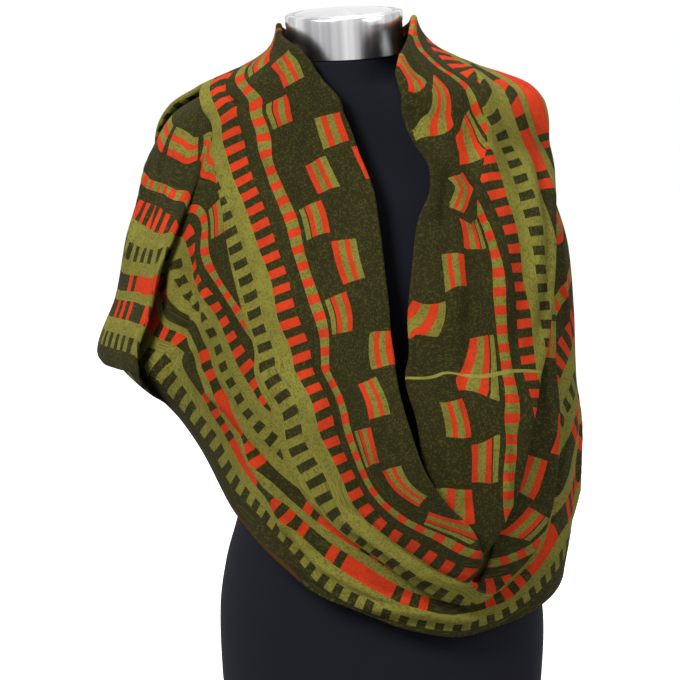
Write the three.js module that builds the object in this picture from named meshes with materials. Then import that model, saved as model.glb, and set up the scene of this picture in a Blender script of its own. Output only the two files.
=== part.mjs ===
// Infinity scarf wound twice round a limbless dress form.
// Millimetres, +Z up, the base's middle at the origin, -Y towards the front of the picture.
import * as THREE from 'three';

const DEGREE = Math.PI / 180;

// The whole form is turned a little to its own right.
const form_turn = 25 * DEGREE;
const turn_cos = Math.cos(form_turn);
const turn_sin = Math.sin(form_turn);

// Cloth and its layers, measured out from the drape surface to the middle of the wall.
const wall = 2.0;
const half_wall = wall / 2;
const lower_lift = 1.2;
const seam_gap = 0.36;
const roll_radius = 2.2;
const tucked_strip = 6;

// Form parts.
const part_gap = 0.3;
const base_height = 12;
const base_edge = 3;
const torso_around = 36;
const neck_middle = { aside: -18, forward: 45, up: 695 };
const neck_tilt = 7 * DEGREE;
const neck_radius = 57.5;
const spigot_radius = 54.5;
const spigot_height = 36;
const cap_radius = 59;
const cap_bore = 55.5;
const cap_height = 42;
const cap_bevel = 2.5;
const cap_around = 40;
const lid_seat_radius = 50.5;
const lid_seat_drop = 4;
const lid_radius = 50;
const lid_crown = 5.5;
const lid_plate = 2.5;

// Sections of the torso from the hips up: half width, reach to the front and to the back,
// all from a middle that moves forward and aside as the form leans.
const torso_rows = [
  { up: 12.3, half: 167, front: 111, back: 112, forward: 0, aside: 0, tilt: 0 },
  { up: 60, half: 172, front: 115, back: 116, forward: 0, aside: 0, tilt: 0 },
  { up: 130, half: 174, front: 117, back: 120, forward: 0, aside: 0, tilt: 0 },
  { up: 180, half: 166, front: 111, back: 114, forward: 0, aside: -1, tilt: 0 },
  { up: 225, half: 152, front: 101, back: 99, forward: 1, aside: -2, tilt: 0 },
  { up: 270, half: 141, front: 95, back: 88, forward: 2, aside: -4, tilt: 0 },
  { up: 320, half: 145, front: 104, back: 86, forward: 3, aside: -6, tilt: 0 },
  { up: 370, half: 153, front: 125, back: 90, forward: 4, aside: -8, tilt: 0 },
  { up: 415, half: 160, front: 138, back: 95, forward: 5, aside: -9, tilt: 0 },
  { up: 465, half: 164, front: 128, back: 99, forward: 8, aside: -11, tilt: 0 },
  { up: 520, half: 169, front: 104, back: 100, forward: 13, aside: -13, tilt: 0 },
  { up: 570, half: 181, front: 80, back: 98, forward: 19, aside: -15, tilt: 0 },
  { up: 602, half: 177.9, front: 70, back: 93, forward: 24, aside: -16, tilt: 0 },
  { up: 626, half: 157, front: 64, back: 86, forward: 30, aside: -16, tilt: 0 },
  { up: 644, half: 116, front: 60, back: 76, forward: 36, aside: -17, tilt: 0 },
  { up: 660, half: 82, front: 58, back: 66, forward: 40, aside: -17, tilt: 0.3 },
  { up: 675, half: 62, front: 57, back: 58, forward: 43, aside: -18, tilt: 0.8 },
];

// The drape surface that the cloth lies on: how far each level is seen to reach to the left
// and right, and how far it reaches forward and back along the form's own turn.
const drape_rows = [
  { up: 90, left: -176, right: 178, front: 140, back: -146 },
  { up: 165, left: -176, right: 182, front: 147, back: -140 },
  { up: 213, left: -166, right: 189, front: 152, back: -134 },
  { up: 234, left: -163, right: 191, front: 155, back: -132 },
  { up: 258, left: -168, right: 192, front: 158, back: -130 },
  { up: 291, left: -182, right: 194, front: 161, back: -128 },
  { up: 321, left: -204, right: 196, front: 162, back: -127 },
  { up: 345, left: -230, right: 195, front: 162, back: -126 },
  { up: 372, left: -274, right: 193, front: 160, back: -126 },
  { up: 389, left: -290, right: 192, front: 158, back: -126 },
  { up: 446, left: -271, right: 190, front: 150, back: -125 },
  { up: 507, left: -260, right: 184, front: 137, back: -120 },
  { up: 548, left: -247, right: 172, front: 126, back: -114 },
  { up: 574, left: -240, right: 162, front: 119, back: -110 },
  { up: 600, left: -231, right: 152, front: 113, back: -102 },
  { up: 633, left: -210, right: 146, front: 108, back: -86 },
  { up: 650, left: -184, right: 137, front: 107, back: -76 },
  { up: 660, left: -166, right: 118, front: 107, back: -68 },
  { up: 668, left: -150, right: 98, front: 107, back: -60 },
  { up: 676, left: -135, right: 81, front: 107, back: -53 },
  { up: 684, left: -122, right: 66, front: 108, back: -46 },
  { up: 692, left: -112, right: 53, front: 108, back: -39 },
  { up: 702, left: -104, right: 42, front: 109, back: -32 },
  { up: 717, left: -99, right: 32, front: 109, back: -25 },
  { up: 735, left: -98, right: 27, front: 108, back: -20 },
  { up: 760, left: -98, right: 27, front: 108, back: -20 },
];

// One value of a table at a level, smooth between its rows.
function at_level(rows, level, column) {
  let first = 0;
  while (first < rows.length - 2 && rows[first + 1].up < level) first += 1;
  const low = rows[first];
  const high = rows[first + 1];
  const below = rows[Math.max(first - 1, 0)];
  const above = rows[Math.min(first + 2, rows.length - 1)];
  const span = high.up - low.up;
  const part = THREE.MathUtils.clamp((level - low.up) / span, 0, 1);
  const slope_low = first > 0 ? (high[column] - below[column]) / (high.up - below.up) : 0;
  const slope_high = first < rows.length - 2
    ? (above[column] - low[column]) / (above.up - low.up) : 0;
  return hermite(low[column], high[column], slope_low * span, slope_high * span, part);
}

function hermite(start, end, slope_start, slope_end, part) {
  const part2 = part * part;
  const part3 = part2 * part;
  return start * (2 * part3 - 3 * part2 + 1) + slope_start * (part3 - 2 * part2 + part)
    + end * (3 * part2 - 2 * part3) + slope_end * (part3 - part2);
}

// A point given along the form's own directions, set in the picture's directions.
function from_form(aside, forward, up) {
  return new THREE.Vector3(
    aside * turn_cos - forward * turn_sin,
    -aside * turn_sin - forward * turn_cos,
    up,
  );
}

// The level ellipse of the drape surface, sized so that it is seen from left to right.
function drape_section(level) {
  const left = at_level(drape_rows, level, 'left');
  const right = at_level(drape_rows, level, 'right');
  const front = at_level(drape_rows, level, 'front');
  const back = at_level(drape_rows, level, 'back');
  const middle = (left + right) / 2;
  const reach = (right - left) / 2;
  const forward = (front + back) / 2;
  const depth = (front - back) / 2;
  const width = Math.sqrt(reach * reach - (depth * turn_sin) ** 2) / turn_cos;
  const aside = (middle + forward * turn_sin) / turn_cos;
  const lead = Math.atan2(depth * turn_sin, width * turn_cos);
  return { middle, reach, forward, depth, width, aside, lead };
}

// Round is measured from the front: -90 degrees is the left outline, 90 the right one.
function drape_point(round, level) {
  const section = drape_section(level);
  const angle = round + section.lead;
  return from_form(
    section.aside + section.width * Math.sin(angle),
    section.forward + section.depth * Math.cos(angle),
    level,
  );
}

// A place on the front, by how far across and how high it is seen.
function seen(across, up) {
  const section = drape_section(up);
  const sine = THREE.MathUtils.clamp((across - section.middle) / section.reach, -1, 1);
  return { round: Math.asin(sine), up };
}

// A place on the sides or the back, by how far round it is.
function round(degrees, up) {
  return { round: degrees * DEGREE, up };
}

// The lower turn, once round the form: its hem and its upper edge.
const lower_rows = [
  { outer: round(-180, 368), inner: round(-206, 634) },
  { outer: round(-158, 384), inner: round(-176, 634) },
  { outer: round(-135, 397), inner: round(-142, 642) },
  { outer: round(-112, 403), inner: round(-112, 652) },
  { outer: seen(-290, 383), inner: seen(-158, 662) },
  { outer: seen(-262, 381), inner: seen(-152, 657), out_lift: 9 },
  { outer: seen(-238, 382), inner: seen(-146, 652), out_lift: 20 },
  { outer: seen(-220, 375), inner: seen(-141, 646), out_lift: 22 },
  { outer: seen(-219, 350), inner: seen(-135, 638), out_lift: 5 },
  { outer: seen(-205, 331), inner: seen(-125, 606) },
  { outer: seen(-184, 303), inner: seen(-110, 548) },
  { outer: seen(-168, 276), inner: seen(-95, 486) },
  { outer: seen(-150, 244), inner: seen(-78, 422) },
  { outer: seen(-128, 218), inner: seen(-60, 366) },
  { outer: seen(-97, 190), inner: seen(-36, 316) },
  { outer: seen(-60, 164), inner: seen(-8, 276) },
  { outer: seen(-16, 147), inner: seen(25, 248) },
  { outer: seen(30, 132), inner: seen(54, 230) },
  { outer: seen(74, 125), inner: seen(84, 224) },
  { outer: seen(112, 133), inner: seen(106, 236) },
  { outer: seen(146, 144), inner: seen(119, 264) },
  { outer: seen(176, 163), inner: seen(126, 302) },
  { outer: round(98, 188), inner: seen(131, 346) },
  { outer: round(112, 226), inner: seen(136, 400) },
  { outer: round(124, 262), inner: seen(140, 456) },
  { outer: round(137, 296), inner: seen(142, 520) },
  { outer: round(151, 322), inner: seen(136, 590) },
  { outer: round(165, 346), inner: round(112, 626) },
  { outer: round(180, 368), inner: round(154, 634) },
];

// The upper turn, from the flap's tucked tip up over the right shoulder, round the back, down
// the left panel, through the cowl and up again on the right under the flap: its outer fold
// and its neck edge, each with its lift.
const upper_rows = [
  { outer: seen(96, 216), inner: seen(84, 224), out_lift: 20, in_lift: 20 },
  { outer: seen(104, 228), inner: seen(64, 252), out_lift: 20, in_lift: 20 },
  { outer: seen(114, 248), inner: seen(42, 300), out_lift: 20, in_lift: 20 },
  { outer: seen(123, 270), inner: seen(32, 350), out_lift: 20, in_lift: 20 },
  { outer: seen(130, 298), inner: seen(28, 398), out_lift: 20, in_lift: 20 },
  { outer: seen(136, 328), inner: seen(28, 442), out_lift: 20, in_lift: 20 },
  { outer: seen(143, 364), inner: seen(32, 488), out_lift: 20, in_lift: 20 },
  { outer: seen(149, 400), inner: seen(37, 528), out_lift: 20, in_lift: 20 },
  { outer: seen(154, 440), inner: seen(48, 558), out_lift: 20, in_lift: 20 },
  { outer: seen(157, 478), inner: seen(44, 590), out_lift: 20, in_lift: 20 },
  { outer: seen(158, 516), inner: seen(27, 626), out_lift: 20, in_lift: 19 },
  { outer: seen(157, 554), inner: seen(20, 656), out_lift: 20, in_lift: 17 },
  { outer: seen(152, 588), inner: seen(14, 682), out_lift: 20, in_lift: 14 },
  { outer: seen(147, 618), inner: seen(22, 706), out_lift: 20, in_lift: 10 },
  { outer: round(95, 641), inner: round(84, 731), out_lift: 20, in_lift: 7.5 },
  { outer: round(122, 596), inner: round(118, 722), out_lift: 15, in_lift: 8 },
  { outer: round(152, 545), inner: round(150, 710), out_lift: 11, in_lift: 10 },
  { outer: round(180, 520), inner: round(182, 706), out_lift: 11, in_lift: 11 },
  { outer: round(208, 528), inner: round(214, 710), out_lift: 11, in_lift: 10 },
  { outer: round(236, 560), inner: round(243, 717), out_lift: 11, in_lift: 8 },
  { outer: round(261, 615), inner: round(270, 724), out_lift: 10.3, in_lift: 6 },
  { outer: round(274, 654), inner: round(283, 715), out_lift: 11, in_lift: 6 },
  { outer: seen(-167, 630), inner: seen(-76, 697), out_lift: 11, in_lift: 8 },
  { outer: seen(-162, 594), inner: seen(-52, 665), out_lift: 11, in_lift: 10 },
  { outer: seen(-156, 556), inner: seen(-30, 624), out_lift: 11, in_lift: 11 },
  { outer: seen(-149, 514), inner: seen(-12, 574), out_lift: 11, in_lift: 11 },
  { outer: seen(-141, 474), inner: seen(-2, 528), out_lift: 11, in_lift: 11 },
  { outer: seen(-131, 435), inner: seen(4, 480), out_lift: 11, in_lift: 13 },
  { outer: seen(-119, 395), inner: seen(9, 432), out_lift: 11, in_lift: 18 },
  { outer: seen(-106, 353), inner: seen(15, 386), out_lift: 11, in_lift: 25 },
  { outer: seen(-92, 306), inner: seen(25, 342), out_lift: 11, in_lift: 31 },
  { outer: seen(-72, 267), inner: seen(40, 298), out_lift: 11, in_lift: 33 },
  { outer: seen(-42, 236), inner: seen(60, 264), out_lift: 11, in_lift: 33 },
  { outer: seen(-3, 207), inner: seen(81, 240), out_lift: 11, in_lift: 33 },
  { outer: seen(35, 178), inner: seen(89, 214), out_lift: 11, in_lift: 31 },
  { outer: seen(68, 161), inner: seen(82, 190), out_lift: 11, in_lift: 22 },
  { outer: seen(96, 162), inner: seen(92, 184), out_lift: 11, in_lift: 14 },
  { outer: seen(122, 186), inner: seen(103, 206), out_lift: 11, in_lift: 11 },
  { outer: seen(147, 216), inner: seen(107, 240), out_lift: 11, in_lift: 11 },
  { outer: seen(160, 256), inner: seen(108, 288), out_lift: 11, in_lift: 11 },
  { outer: seen(165, 310), inner: seen(104, 342), out_lift: 11, in_lift: 11 },
  { outer: seen(165, 369), inner: seen(98, 402), out_lift: 11, in_lift: 11 },
  { outer: seen(163, 430), inner: seen(94, 466), out_lift: 11, in_lift: 11 },
  { outer: seen(159, 490), inner: seen(92, 530), out_lift: 11, in_lift: 11 },
  { outer: seen(146, 556), inner: seen(92, 590), out_lift: 11, in_lift: 11 },
];

// The largest folds. Each runs along the drape surface from one place to another; near and
// far are how wide it is on the side of the neck and on the side of the hem.
const lower_folds = [
  { from: seen(-178, 520), to: seen(-172, 390), height: 7, near: 14, far: 14 },
  { from: seen(-138, 310), to: seen(-90, 215), height: 8, near: 12, far: 14 },
  { from: seen(-30, 160), to: seen(100, 140), height: 7, near: 7, far: 14 },
  { from: round(106, 400), to: round(90, 225), height: 8, near: 12, far: 14 },
  { from: round(121, 470), to: round(116, 290), height: 11, near: 20, far: 20 },
  { from: round(151, 480), to: round(150, 341), height: 13, near: 22, far: 24 },
  { from: round(200, 490), to: round(202, 388), height: 14, near: 24, far: 26 },
  { from: round(228, 500), to: round(229, 404), height: 13, near: 22, far: 22 },
];
const upper_folds = [
  { from: seen(94, 636), to: seen(108, 420), height: 8, near: 20, far: 22 },
  { from: seen(62, 628), to: seen(66, 400), height: 6, near: 14, far: 14 },
  { from: seen(126, 606), to: seen(132, 420), height: 5, near: 12, far: 12 },
  { from: seen(-108, 676), to: seen(-70, 560), height: 5, near: 16, far: 12 },
  { from: seen(-90, 470), to: seen(-40, 320), height: 5, near: 26, far: 20 },
  { from: seen(-40, 250), to: seen(50, 185), height: 6, near: 14, far: 10 },
  { from: round(240, 640), to: round(130, 650), height: 8, near: 18, far: 18 },
  { from: round(232, 590), to: round(136, 600), height: 7, near: 14, far: 18 },
];

// Values of a turn at a place between its stations, smooth through the stations.
function station_value(rows, place, read) {
  const first = Math.min(Math.floor(place), rows.length - 2);
  const before = read(rows[Math.max(first - 1, 0)]);
  const start = read(rows[first]);
  const end = read(rows[first + 1]);
  const after = read(rows[Math.min(first + 2, rows.length - 1)]);
  return hermite(start, end, (end - before) / 2, (after - start) / 2, place - first);
}

// Rounds are kept running on past the back, so that neighbours never differ by a full turn.
function run_on(rows) {
  for (const edge of ['outer', 'inner']) {
    let last = rows[0][edge].round;
    for (const row of rows) {
      const steps = Math.round((last - row[edge].round) / (2 * Math.PI));
      row[edge] = { round: row[edge].round + steps * 2 * Math.PI, up: row[edge].up };
      last = row[edge].round;
    }
  }
}

function make_turn(rows, folds, rise) {
  run_on(rows);
  return { rows, folds: folds.map(fold_line), rise };
}

// How soon the lift of the neck edge is reached across each turn.
const soon = (across) => Math.sin(across * Math.PI / 2);
const by_three_quarters = (across) => Math.min(1, (across / 0.75) ** 2);

// A fold as a short run of points on the drape surface.
function fold_line(fold) {
  const pieces = 8;
  const points = [];
  for (let piece = 0; piece <= pieces; piece += 1) {
    const part = piece / pieces;
    let turn_left = fold.to.round - fold.from.round;
    turn_left -= 2 * Math.PI * Math.round(turn_left / (2 * Math.PI));
    points.push(drape_point(
      fold.from.round + part * turn_left,
      fold.from.up + part * (fold.to.up - fold.from.up),
    ));
  }
  return { ...fold, points };
}

// How far a fold lifts the cloth at a point, softly fading to its sides and its ends.
function fold_height(fold, point, toward_neck) {
  let best = Infinity;
  let side = 0;
  let along = 0;
  const count = fold.points.length - 1;
  for (let piece = 0; piece < count; piece += 1) {
    const start = fold.points[piece];
    const run = fold.points[piece + 1].clone().sub(start);
    const offset = point.clone().sub(start);
    const part = THREE.MathUtils.clamp(offset.dot(run) / run.lengthSq(), 0, 1);
    const away = offset.sub(run.multiplyScalar(part));
    if (away.length() < best) {
      best = away.length();
      side = away.dot(toward_neck);
      along = (piece + part) / count;
    }
  }
  const reach = side > 0 ? fold.near : fold.far;
  if (best >= reach) return 0;
  const across_fade = 0.5 + 0.5 * Math.cos(Math.PI * best / reach);
  const end_fade = Math.min(1, Math.sin(Math.PI * along) * 1.8);
  return fold.height * across_fade * end_fade;
}

// The middle of the cloth's wall before folds: station place along, part across.
function bare_point(turn, place, across) {
  const { rows } = turn;
  const value = (read) => station_value(rows, place, read);
  const around = THREE.MathUtils.lerp(
    value((row) => row.outer.round), value((row) => row.inner.round), across);
  const level = THREE.MathUtils.lerp(
    value((row) => row.outer.up), value((row) => row.inner.up), across);
  const rise = turn.rise(across);
  const lift = THREE.MathUtils.lerp(
    value((row) => row.out_lift ?? lower_lift), value((row) => row.in_lift ?? lower_lift), rise);
  const point = drape_point(around, level);
  const step = 0.01;
  const sideways = drape_point(around + step, level).sub(point);
  const upward = drape_point(around, level + 1).sub(point);
  const outward = sideways.cross(upward).normalize();
  return { point: point.clone().addScaledVector(outward, lift), base: point, outward };
}

// The same with the folds raised on it.
function cloth_point(turn, place, across) {
  const bare = bare_point(turn, place, across);
  const step = across > 0.5 ? -0.02 : 0.02;
  const toward_neck = bare_point(turn, place, across + step).base.sub(bare.base);
  toward_neck.multiplyScalar(Math.sign(step));
  let height = 0;
  for (const fold of turn.folds) height += fold_height(fold, bare.base, toward_neck);
  const edge_fade = Math.min(1, 6 * (1 - across));
  return bare.point.addScaledVector(bare.outward, height * edge_fade);
}

// The frame of the cloth at a place: the point, the way along, the way in and outward.
function cloth_frame(turn, place, across) {
  const last = turn.rows.length - 1;
  const step = 0.02;
  const point = cloth_point(turn, place, across);
  const ahead = cloth_point(turn, Math.min(place + step, last), across);
  const behind = cloth_point(turn, Math.max(place - step, 0), across);
  const inner = cloth_point(turn, place, Math.min(across + step, 1));
  const outer = cloth_point(turn, place, Math.max(across - step, 0));
  const along = ahead.sub(behind).normalize();
  const inward = inner.sub(outer).normalize();
  const outward = along.clone().cross(inward).normalize();
  inward.copy(outward).cross(along).normalize();
  return { point, along, inward, outward };
}

// One line of the wall across the cloth, as frames from its outer to its neck edge.
function cloth_line(turn, place, stretch) {
  const width = cloth_point(turn, place, 0).distanceTo(cloth_point(turn, place, 1));
  const line = [];
  const inset = roll_radius / Math.max(width, 4 * roll_radius);
  const start = stretch.rolled ? inset : 0;
  const end = stretch.rolled ? 1 - inset : 1;
  if (stretch.rolled) line.push(...rolled_edge(turn, place, start, -1, width));
  for (let column = 0; column <= stretch.columns; column += 1) {
    const across = THREE.MathUtils.lerp(start, end, column / stretch.columns);
    line.push(cloth_frame(turn, place, across));
  }
  if (stretch.rolled) line.push(...rolled_edge(turn, place, end, 1, width).reverse());
  return line;
}

// A soft fold at an edge: the cloth turns under itself and runs back a little way.
function rolled_edge(turn, place, across, side, width) {
  const frame = cloth_frame(turn, place, across);
  const edge_out = frame.inward.clone().multiplyScalar(side);
  const strip = Math.min(tucked_strip, width / 4);
  const tucked = [];
  const under = frame.point.clone().addScaledVector(frame.outward, -2 * roll_radius);
  tucked.push({
    point: under.clone().addScaledVector(edge_out, -strip),
    along: frame.along,
    outward: frame.outward.clone().negate(),
  });
  const steps = 3;
  for (let step = 0; step < steps; step += 1) {
    const angle = Math.PI * step / steps;
    const outward = frame.outward.clone().multiplyScalar(-Math.cos(angle))
      .addScaledVector(edge_out, Math.sin(angle));
    const centre = frame.point.clone().addScaledVector(frame.outward, -roll_radius);
    tucked.push({
      point: centre.addScaledVector(outward, roll_radius),
      along: frame.along,
      outward,
    });
  }
  return tucked;
}

// Moves an end line square to itself, so that neighbouring stretches stay apart.
function draw_back(line, distance) {
  const last = line.length - 1;
  const near = (list, column) => list[THREE.MathUtils.clamp(column, 0, last)];
  const squares = line.map((frame, column) => {
    const next = near(line, column + 1).point;
    const across = next.clone().sub(near(line, column - 1).point).normalize();
    return frame.along.clone().addScaledVector(across, -frame.along.dot(across)).normalize();
  });
  line.forEach((frame, column) => {
    const square = near(squares, column - 1).clone().add(near(squares, column + 1));
    square.addScaledVector(squares[column], 2).normalize();
    frame.shift = square.multiplyScalar(distance);
  });
  for (const frame of line) frame.point.add(frame.shift);
}

// A closed sheet: the wall's outer face, its inner face and its edges all round.
function sheet_mesh(turn, stretch) {
  const lines = [];
  const rows = stretch.rows;
  for (let row = 0; row <= rows; row += 1) {
    const place = THREE.MathUtils.lerp(stretch.from, stretch.to, row / rows);
    const line = cloth_line(turn, place, stretch);
    if (row === 0) draw_back(line, seam_gap / 2);
    if (row === rows) draw_back(line, -seam_gap / 2);
    lines.push(line);
  }
  const count = lines[0].length;
  const positions = [];
  for (const side of [half_wall, -half_wall]) {
    for (const line of lines) {
      for (const frame of line) {
        positions.push(...frame.point.clone().addScaledVector(frame.outward, side).toArray());
      }
    }
  }
  const inner_start = lines.length * count;
  const spot = (row, column) => row * count + column;
  const indices = [];
  const quad = (a, b, c, d) => indices.push(a, b, c, a, c, d);
  for (let row = 0; row < rows; row += 1) {
    for (let column = 0; column < count - 1; column += 1) {
      const a = spot(row, column);
      const b = spot(row + 1, column);
      const c = spot(row + 1, column + 1);
      const d = spot(row, column + 1);
      quad(a, b, c, d);
      quad(inner_start + d, inner_start + c, inner_start + b, inner_start + a);
    }
  }
  for (let row = 0; row < rows; row += 1) {
    const low = [spot(row, 0), spot(row + 1, 0)];
    const high = [spot(row, count - 1), spot(row + 1, count - 1)];
    quad(low[0], inner_start + low[0], inner_start + low[1], low[1]);
    quad(high[1], inner_start + high[1], inner_start + high[0], high[0]);
  }
  for (let column = 0; column < count - 1; column += 1) {
    const start = [spot(0, column), spot(0, column + 1)];
    const end = [spot(rows, column), spot(rows, column + 1)];
    quad(start[1], inner_start + start[1], inner_start + start[0], start[0]);
    quad(inner_start + end[0], inner_start + end[1], end[1], end[0]);
  }
  return finished_mesh(stretch.name, positions, indices, knit());
}

function finished_mesh(name, positions, indices, material) {
  const geometry = new THREE.BufferGeometry();
  geometry.setAttribute('position', new THREE.Float32BufferAttribute(positions, 3));
  geometry.setIndex(indices);
  geometry.computeVertexNormals();
  const mesh = new THREE.Mesh(geometry, material);
  mesh.name = name;
  return mesh;
}

// A closed solid through a run of rings, closed flat by a middle point at each end.
function ringed_mesh(name, rings, material) {
  const around = rings[0].length;
  const positions = [];
  for (const ring of rings) for (const point of ring) positions.push(...point.toArray());
  const indices = [];
  for (let row = 0; row < rings.length - 1; row += 1) {
    for (let step = 0; step < around; step += 1) {
      const next = (step + 1) % around;
      const a = row * around + step;
      const b = row * around + next;
      const c = (row + 1) * around + next;
      const d = (row + 1) * around + step;
      indices.push(a, b, c, a, c, d);
    }
  }
  const ends = [[rings[0], 0, true], [rings.at(-1), rings.length - 1, false]];
  for (const [ring, row, downward] of ends) {
    const middle = new THREE.Vector3();
    for (const point of ring) middle.addScaledVector(point, 1 / around);
    const centre = positions.length / 3;
    positions.push(...middle.toArray());
    for (let step = 0; step < around; step += 1) {
      const a = row * around + step;
      const b = row * around + (step + 1) % around;
      if (downward) indices.push(centre, b, a);
      else indices.push(centre, a, b);
    }
  }
  return finished_mesh(name, positions, indices, material);
}

// A level ring of the torso; tilt drops its front, as at the leaning neck.
function torso_ring(row) {
  const ring = [];
  for (let step = 0; step < torso_around; step += 1) {
    const angle = 2 * Math.PI * step / torso_around;
    const reach = Math.cos(angle) > 0 ? row.front : row.back;
    const forward = reach * Math.cos(angle);
    const drop = forward * Math.tan(row.tilt * neck_tilt);
    ring.push(from_form(
      row.aside + row.half * Math.sin(angle), row.forward + forward, row.up - drop));
  }
  return ring;
}

// A ring round the leaning axis of the neck.
function neck_ring(radius, height, around) {
  const ring = [];
  for (let step = 0; step < around; step += 1) {
    const angle = 2 * Math.PI * step / around;
    const forward = radius * Math.cos(angle);
    ring.push(from_form(
      neck_middle.aside + radius * Math.sin(angle),
      neck_middle.forward + forward * Math.cos(neck_tilt) + height * Math.sin(neck_tilt),
      neck_middle.up - forward * Math.sin(neck_tilt) + height * Math.cos(neck_tilt),
    ));
  }
  return ring;
}

function make_torso(material) {
  const rings = torso_rows.map(torso_ring);
  rings.push(neck_ring(neck_radius, -part_gap, torso_around));
  rings.push(neck_ring(spigot_radius, -part_gap, torso_around));
  rings.push(neck_ring(spigot_radius, spigot_height, torso_around));
  return ringed_mesh('form_torso', rings, material);
}

function make_base(material) {
  const row = torso_rows[0];
  const level = (up, inset) => torso_ring({
    ...row, up, half: row.half - inset, front: row.front - inset, back: row.back - inset,
  });
  const rings = [level(0, base_edge), level(base_edge, 0), level(base_height, 0)];
  return ringed_mesh('form_base', rings, material);
}

// The cap is an open band; the profile runs up its bore, over its rim and down outside.
function make_cap(material) {
  const seat = cap_height - lid_seat_drop;
  const profile = [
    [cap_radius, 0],
    [cap_radius, cap_height - cap_bevel],
    [cap_radius - cap_bevel / 2, cap_height - cap_bevel / 4],
    [cap_radius - cap_bevel, cap_height],
    [lid_seat_radius, cap_height],
    [lid_seat_radius, seat],
    [lid_seat_radius - 4, seat],
    [lid_seat_radius - 4, seat - 1.5],
    [cap_bore, seat - 1.5],
    [cap_bore, 0],
  ];
  const positions = [];
  for (const [radius, height] of profile) {
    for (const point of neck_ring(radius, height, cap_around)) positions.push(...point.toArray());
  }
  const indices = [];
  for (let row = 0; row < profile.length; row += 1) {
    const next_row = (row + 1) % profile.length;
    for (let step = 0; step < cap_around; step += 1) {
      const next = (step + 1) % cap_around;
      const a = row * cap_around + step;
      const b = row * cap_around + next;
      const c = next_row * cap_around + next;
      const d = next_row * cap_around + step;
      indices.push(a, b, c, a, c, d);
    }
  }
  return finished_mesh('form_neck_cap', positions, indices, material);
}

// The lid sits in the cap's seat, its crown a little above the rim.
function make_lid(material) {
  const seat = cap_height - lid_seat_drop + part_gap;
  const crown_rows = [
    [lid_radius, seat],
    [lid_radius, seat + lid_plate],
    [lid_radius - 1.5, seat + lid_plate + 1.5],
    [lid_radius * 0.84, seat + lid_plate + lid_crown * 0.55],
    [lid_radius * 0.55, seat + lid_plate + lid_crown * 0.86],
    [lid_radius * 0.22, seat + lid_plate + lid_crown],
  ];
  const rings = crown_rows.map(([radius, height]) => neck_ring(radius, height, cap_around));
  return ringed_mesh('form_cap_lid', rings, material);
}

const jersey = new THREE.MeshStandardMaterial({ color: 0x1c1d26, roughness: 0.9 });
const board = new THREE.MeshStandardMaterial({ color: 0x24242a, roughness: 0.8 });
const brushed = new THREE.MeshStandardMaterial({ color: 0xc4c6ca, metalness: 1, roughness: 0.3 });
const lid_metal = new THREE.MeshStandardMaterial({
  color: 0xd6d8dc, metalness: 1, roughness: 0.25,
});
const knit = () => new THREE.MeshStandardMaterial({ color: 0x4a4724, roughness: 0.95 });

const lower_turn = make_turn(lower_rows, lower_folds, by_three_quarters);
const upper_turn = make_turn(upper_rows, upper_folds, soon);

// Stretches along each turn: the stations they run between and how finely they are cut.
const lower_columns = 12;
const upper_columns = 6;
const lower_stretches = [
  { name: 'scarf_lower_back_left', from: 0, to: 3, rows: 9 },
  { name: 'scarf_lower_left', from: 3, to: 11, rows: 24 },
  { name: 'scarf_lower_front', from: 11, to: 21, rows: 20 },
  { name: 'scarf_lower_right', from: 21, to: 25, rows: 12 },
  { name: 'scarf_lower_back', from: 25, to: 28, rows: 12 },
];
const upper_stretches = [
  { name: 'scarf_right_flap', from: 0, to: 14, rows: 24 },
  { name: 'scarf_upper_back', from: 14, to: 21, rows: 20 },
  { name: 'scarf_upper_left', from: 21, to: 31, rows: 20 },
  { name: 'scarf_upper_cowl', from: 31, to: 37, rows: 20 },
  { name: 'scarf_upper_right', from: 37, to: 44, rows: 12 },
];

const scarf = new THREE.Group();
scarf.name = 'infinity_scarf';
scarf.add(make_torso(jersey), make_base(board), make_cap(brushed), make_lid(lid_metal));
for (const stretch of lower_stretches) {
  scarf.add(sheet_mesh(lower_turn, { ...stretch, columns: lower_columns, rolled: false }));
}
for (const stretch of upper_stretches) {
  scarf.add(sheet_mesh(upper_turn, { ...stretch, columns: upper_columns, rolled: true }));
}

export default scarf;
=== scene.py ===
"""Looks of an infinity scarf wound twice round a limbless dress form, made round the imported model."""
import math

import bmesh
import bpy
import numpy as np
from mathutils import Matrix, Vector


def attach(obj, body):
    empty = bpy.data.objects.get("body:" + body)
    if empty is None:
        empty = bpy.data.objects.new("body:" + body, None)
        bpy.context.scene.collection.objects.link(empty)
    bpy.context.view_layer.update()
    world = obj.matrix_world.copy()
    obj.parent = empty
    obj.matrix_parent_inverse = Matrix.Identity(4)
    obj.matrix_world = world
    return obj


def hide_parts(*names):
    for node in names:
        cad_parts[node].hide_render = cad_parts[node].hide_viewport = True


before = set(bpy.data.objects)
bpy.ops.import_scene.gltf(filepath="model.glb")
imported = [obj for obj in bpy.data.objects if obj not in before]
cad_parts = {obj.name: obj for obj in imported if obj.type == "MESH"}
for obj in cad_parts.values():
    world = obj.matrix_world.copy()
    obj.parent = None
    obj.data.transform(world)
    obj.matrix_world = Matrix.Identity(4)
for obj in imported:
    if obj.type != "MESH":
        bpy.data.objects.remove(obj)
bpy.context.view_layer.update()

# The drape and the form are worked out in millimetres, as in the part, and set down in metres.
MM = 0.001
DEGREE = math.pi / 180

FORM_TURN = 25 * DEGREE
TURN_COS = math.cos(FORM_TURN)
TURN_SIN = math.sin(FORM_TURN)

WALL = 2.0
HALF_WALL = WALL / 2
LOWER_LIFT = 1.2
ROLL_RADIUS = 2.2
TUCKED_STRIP = 6.0

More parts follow.
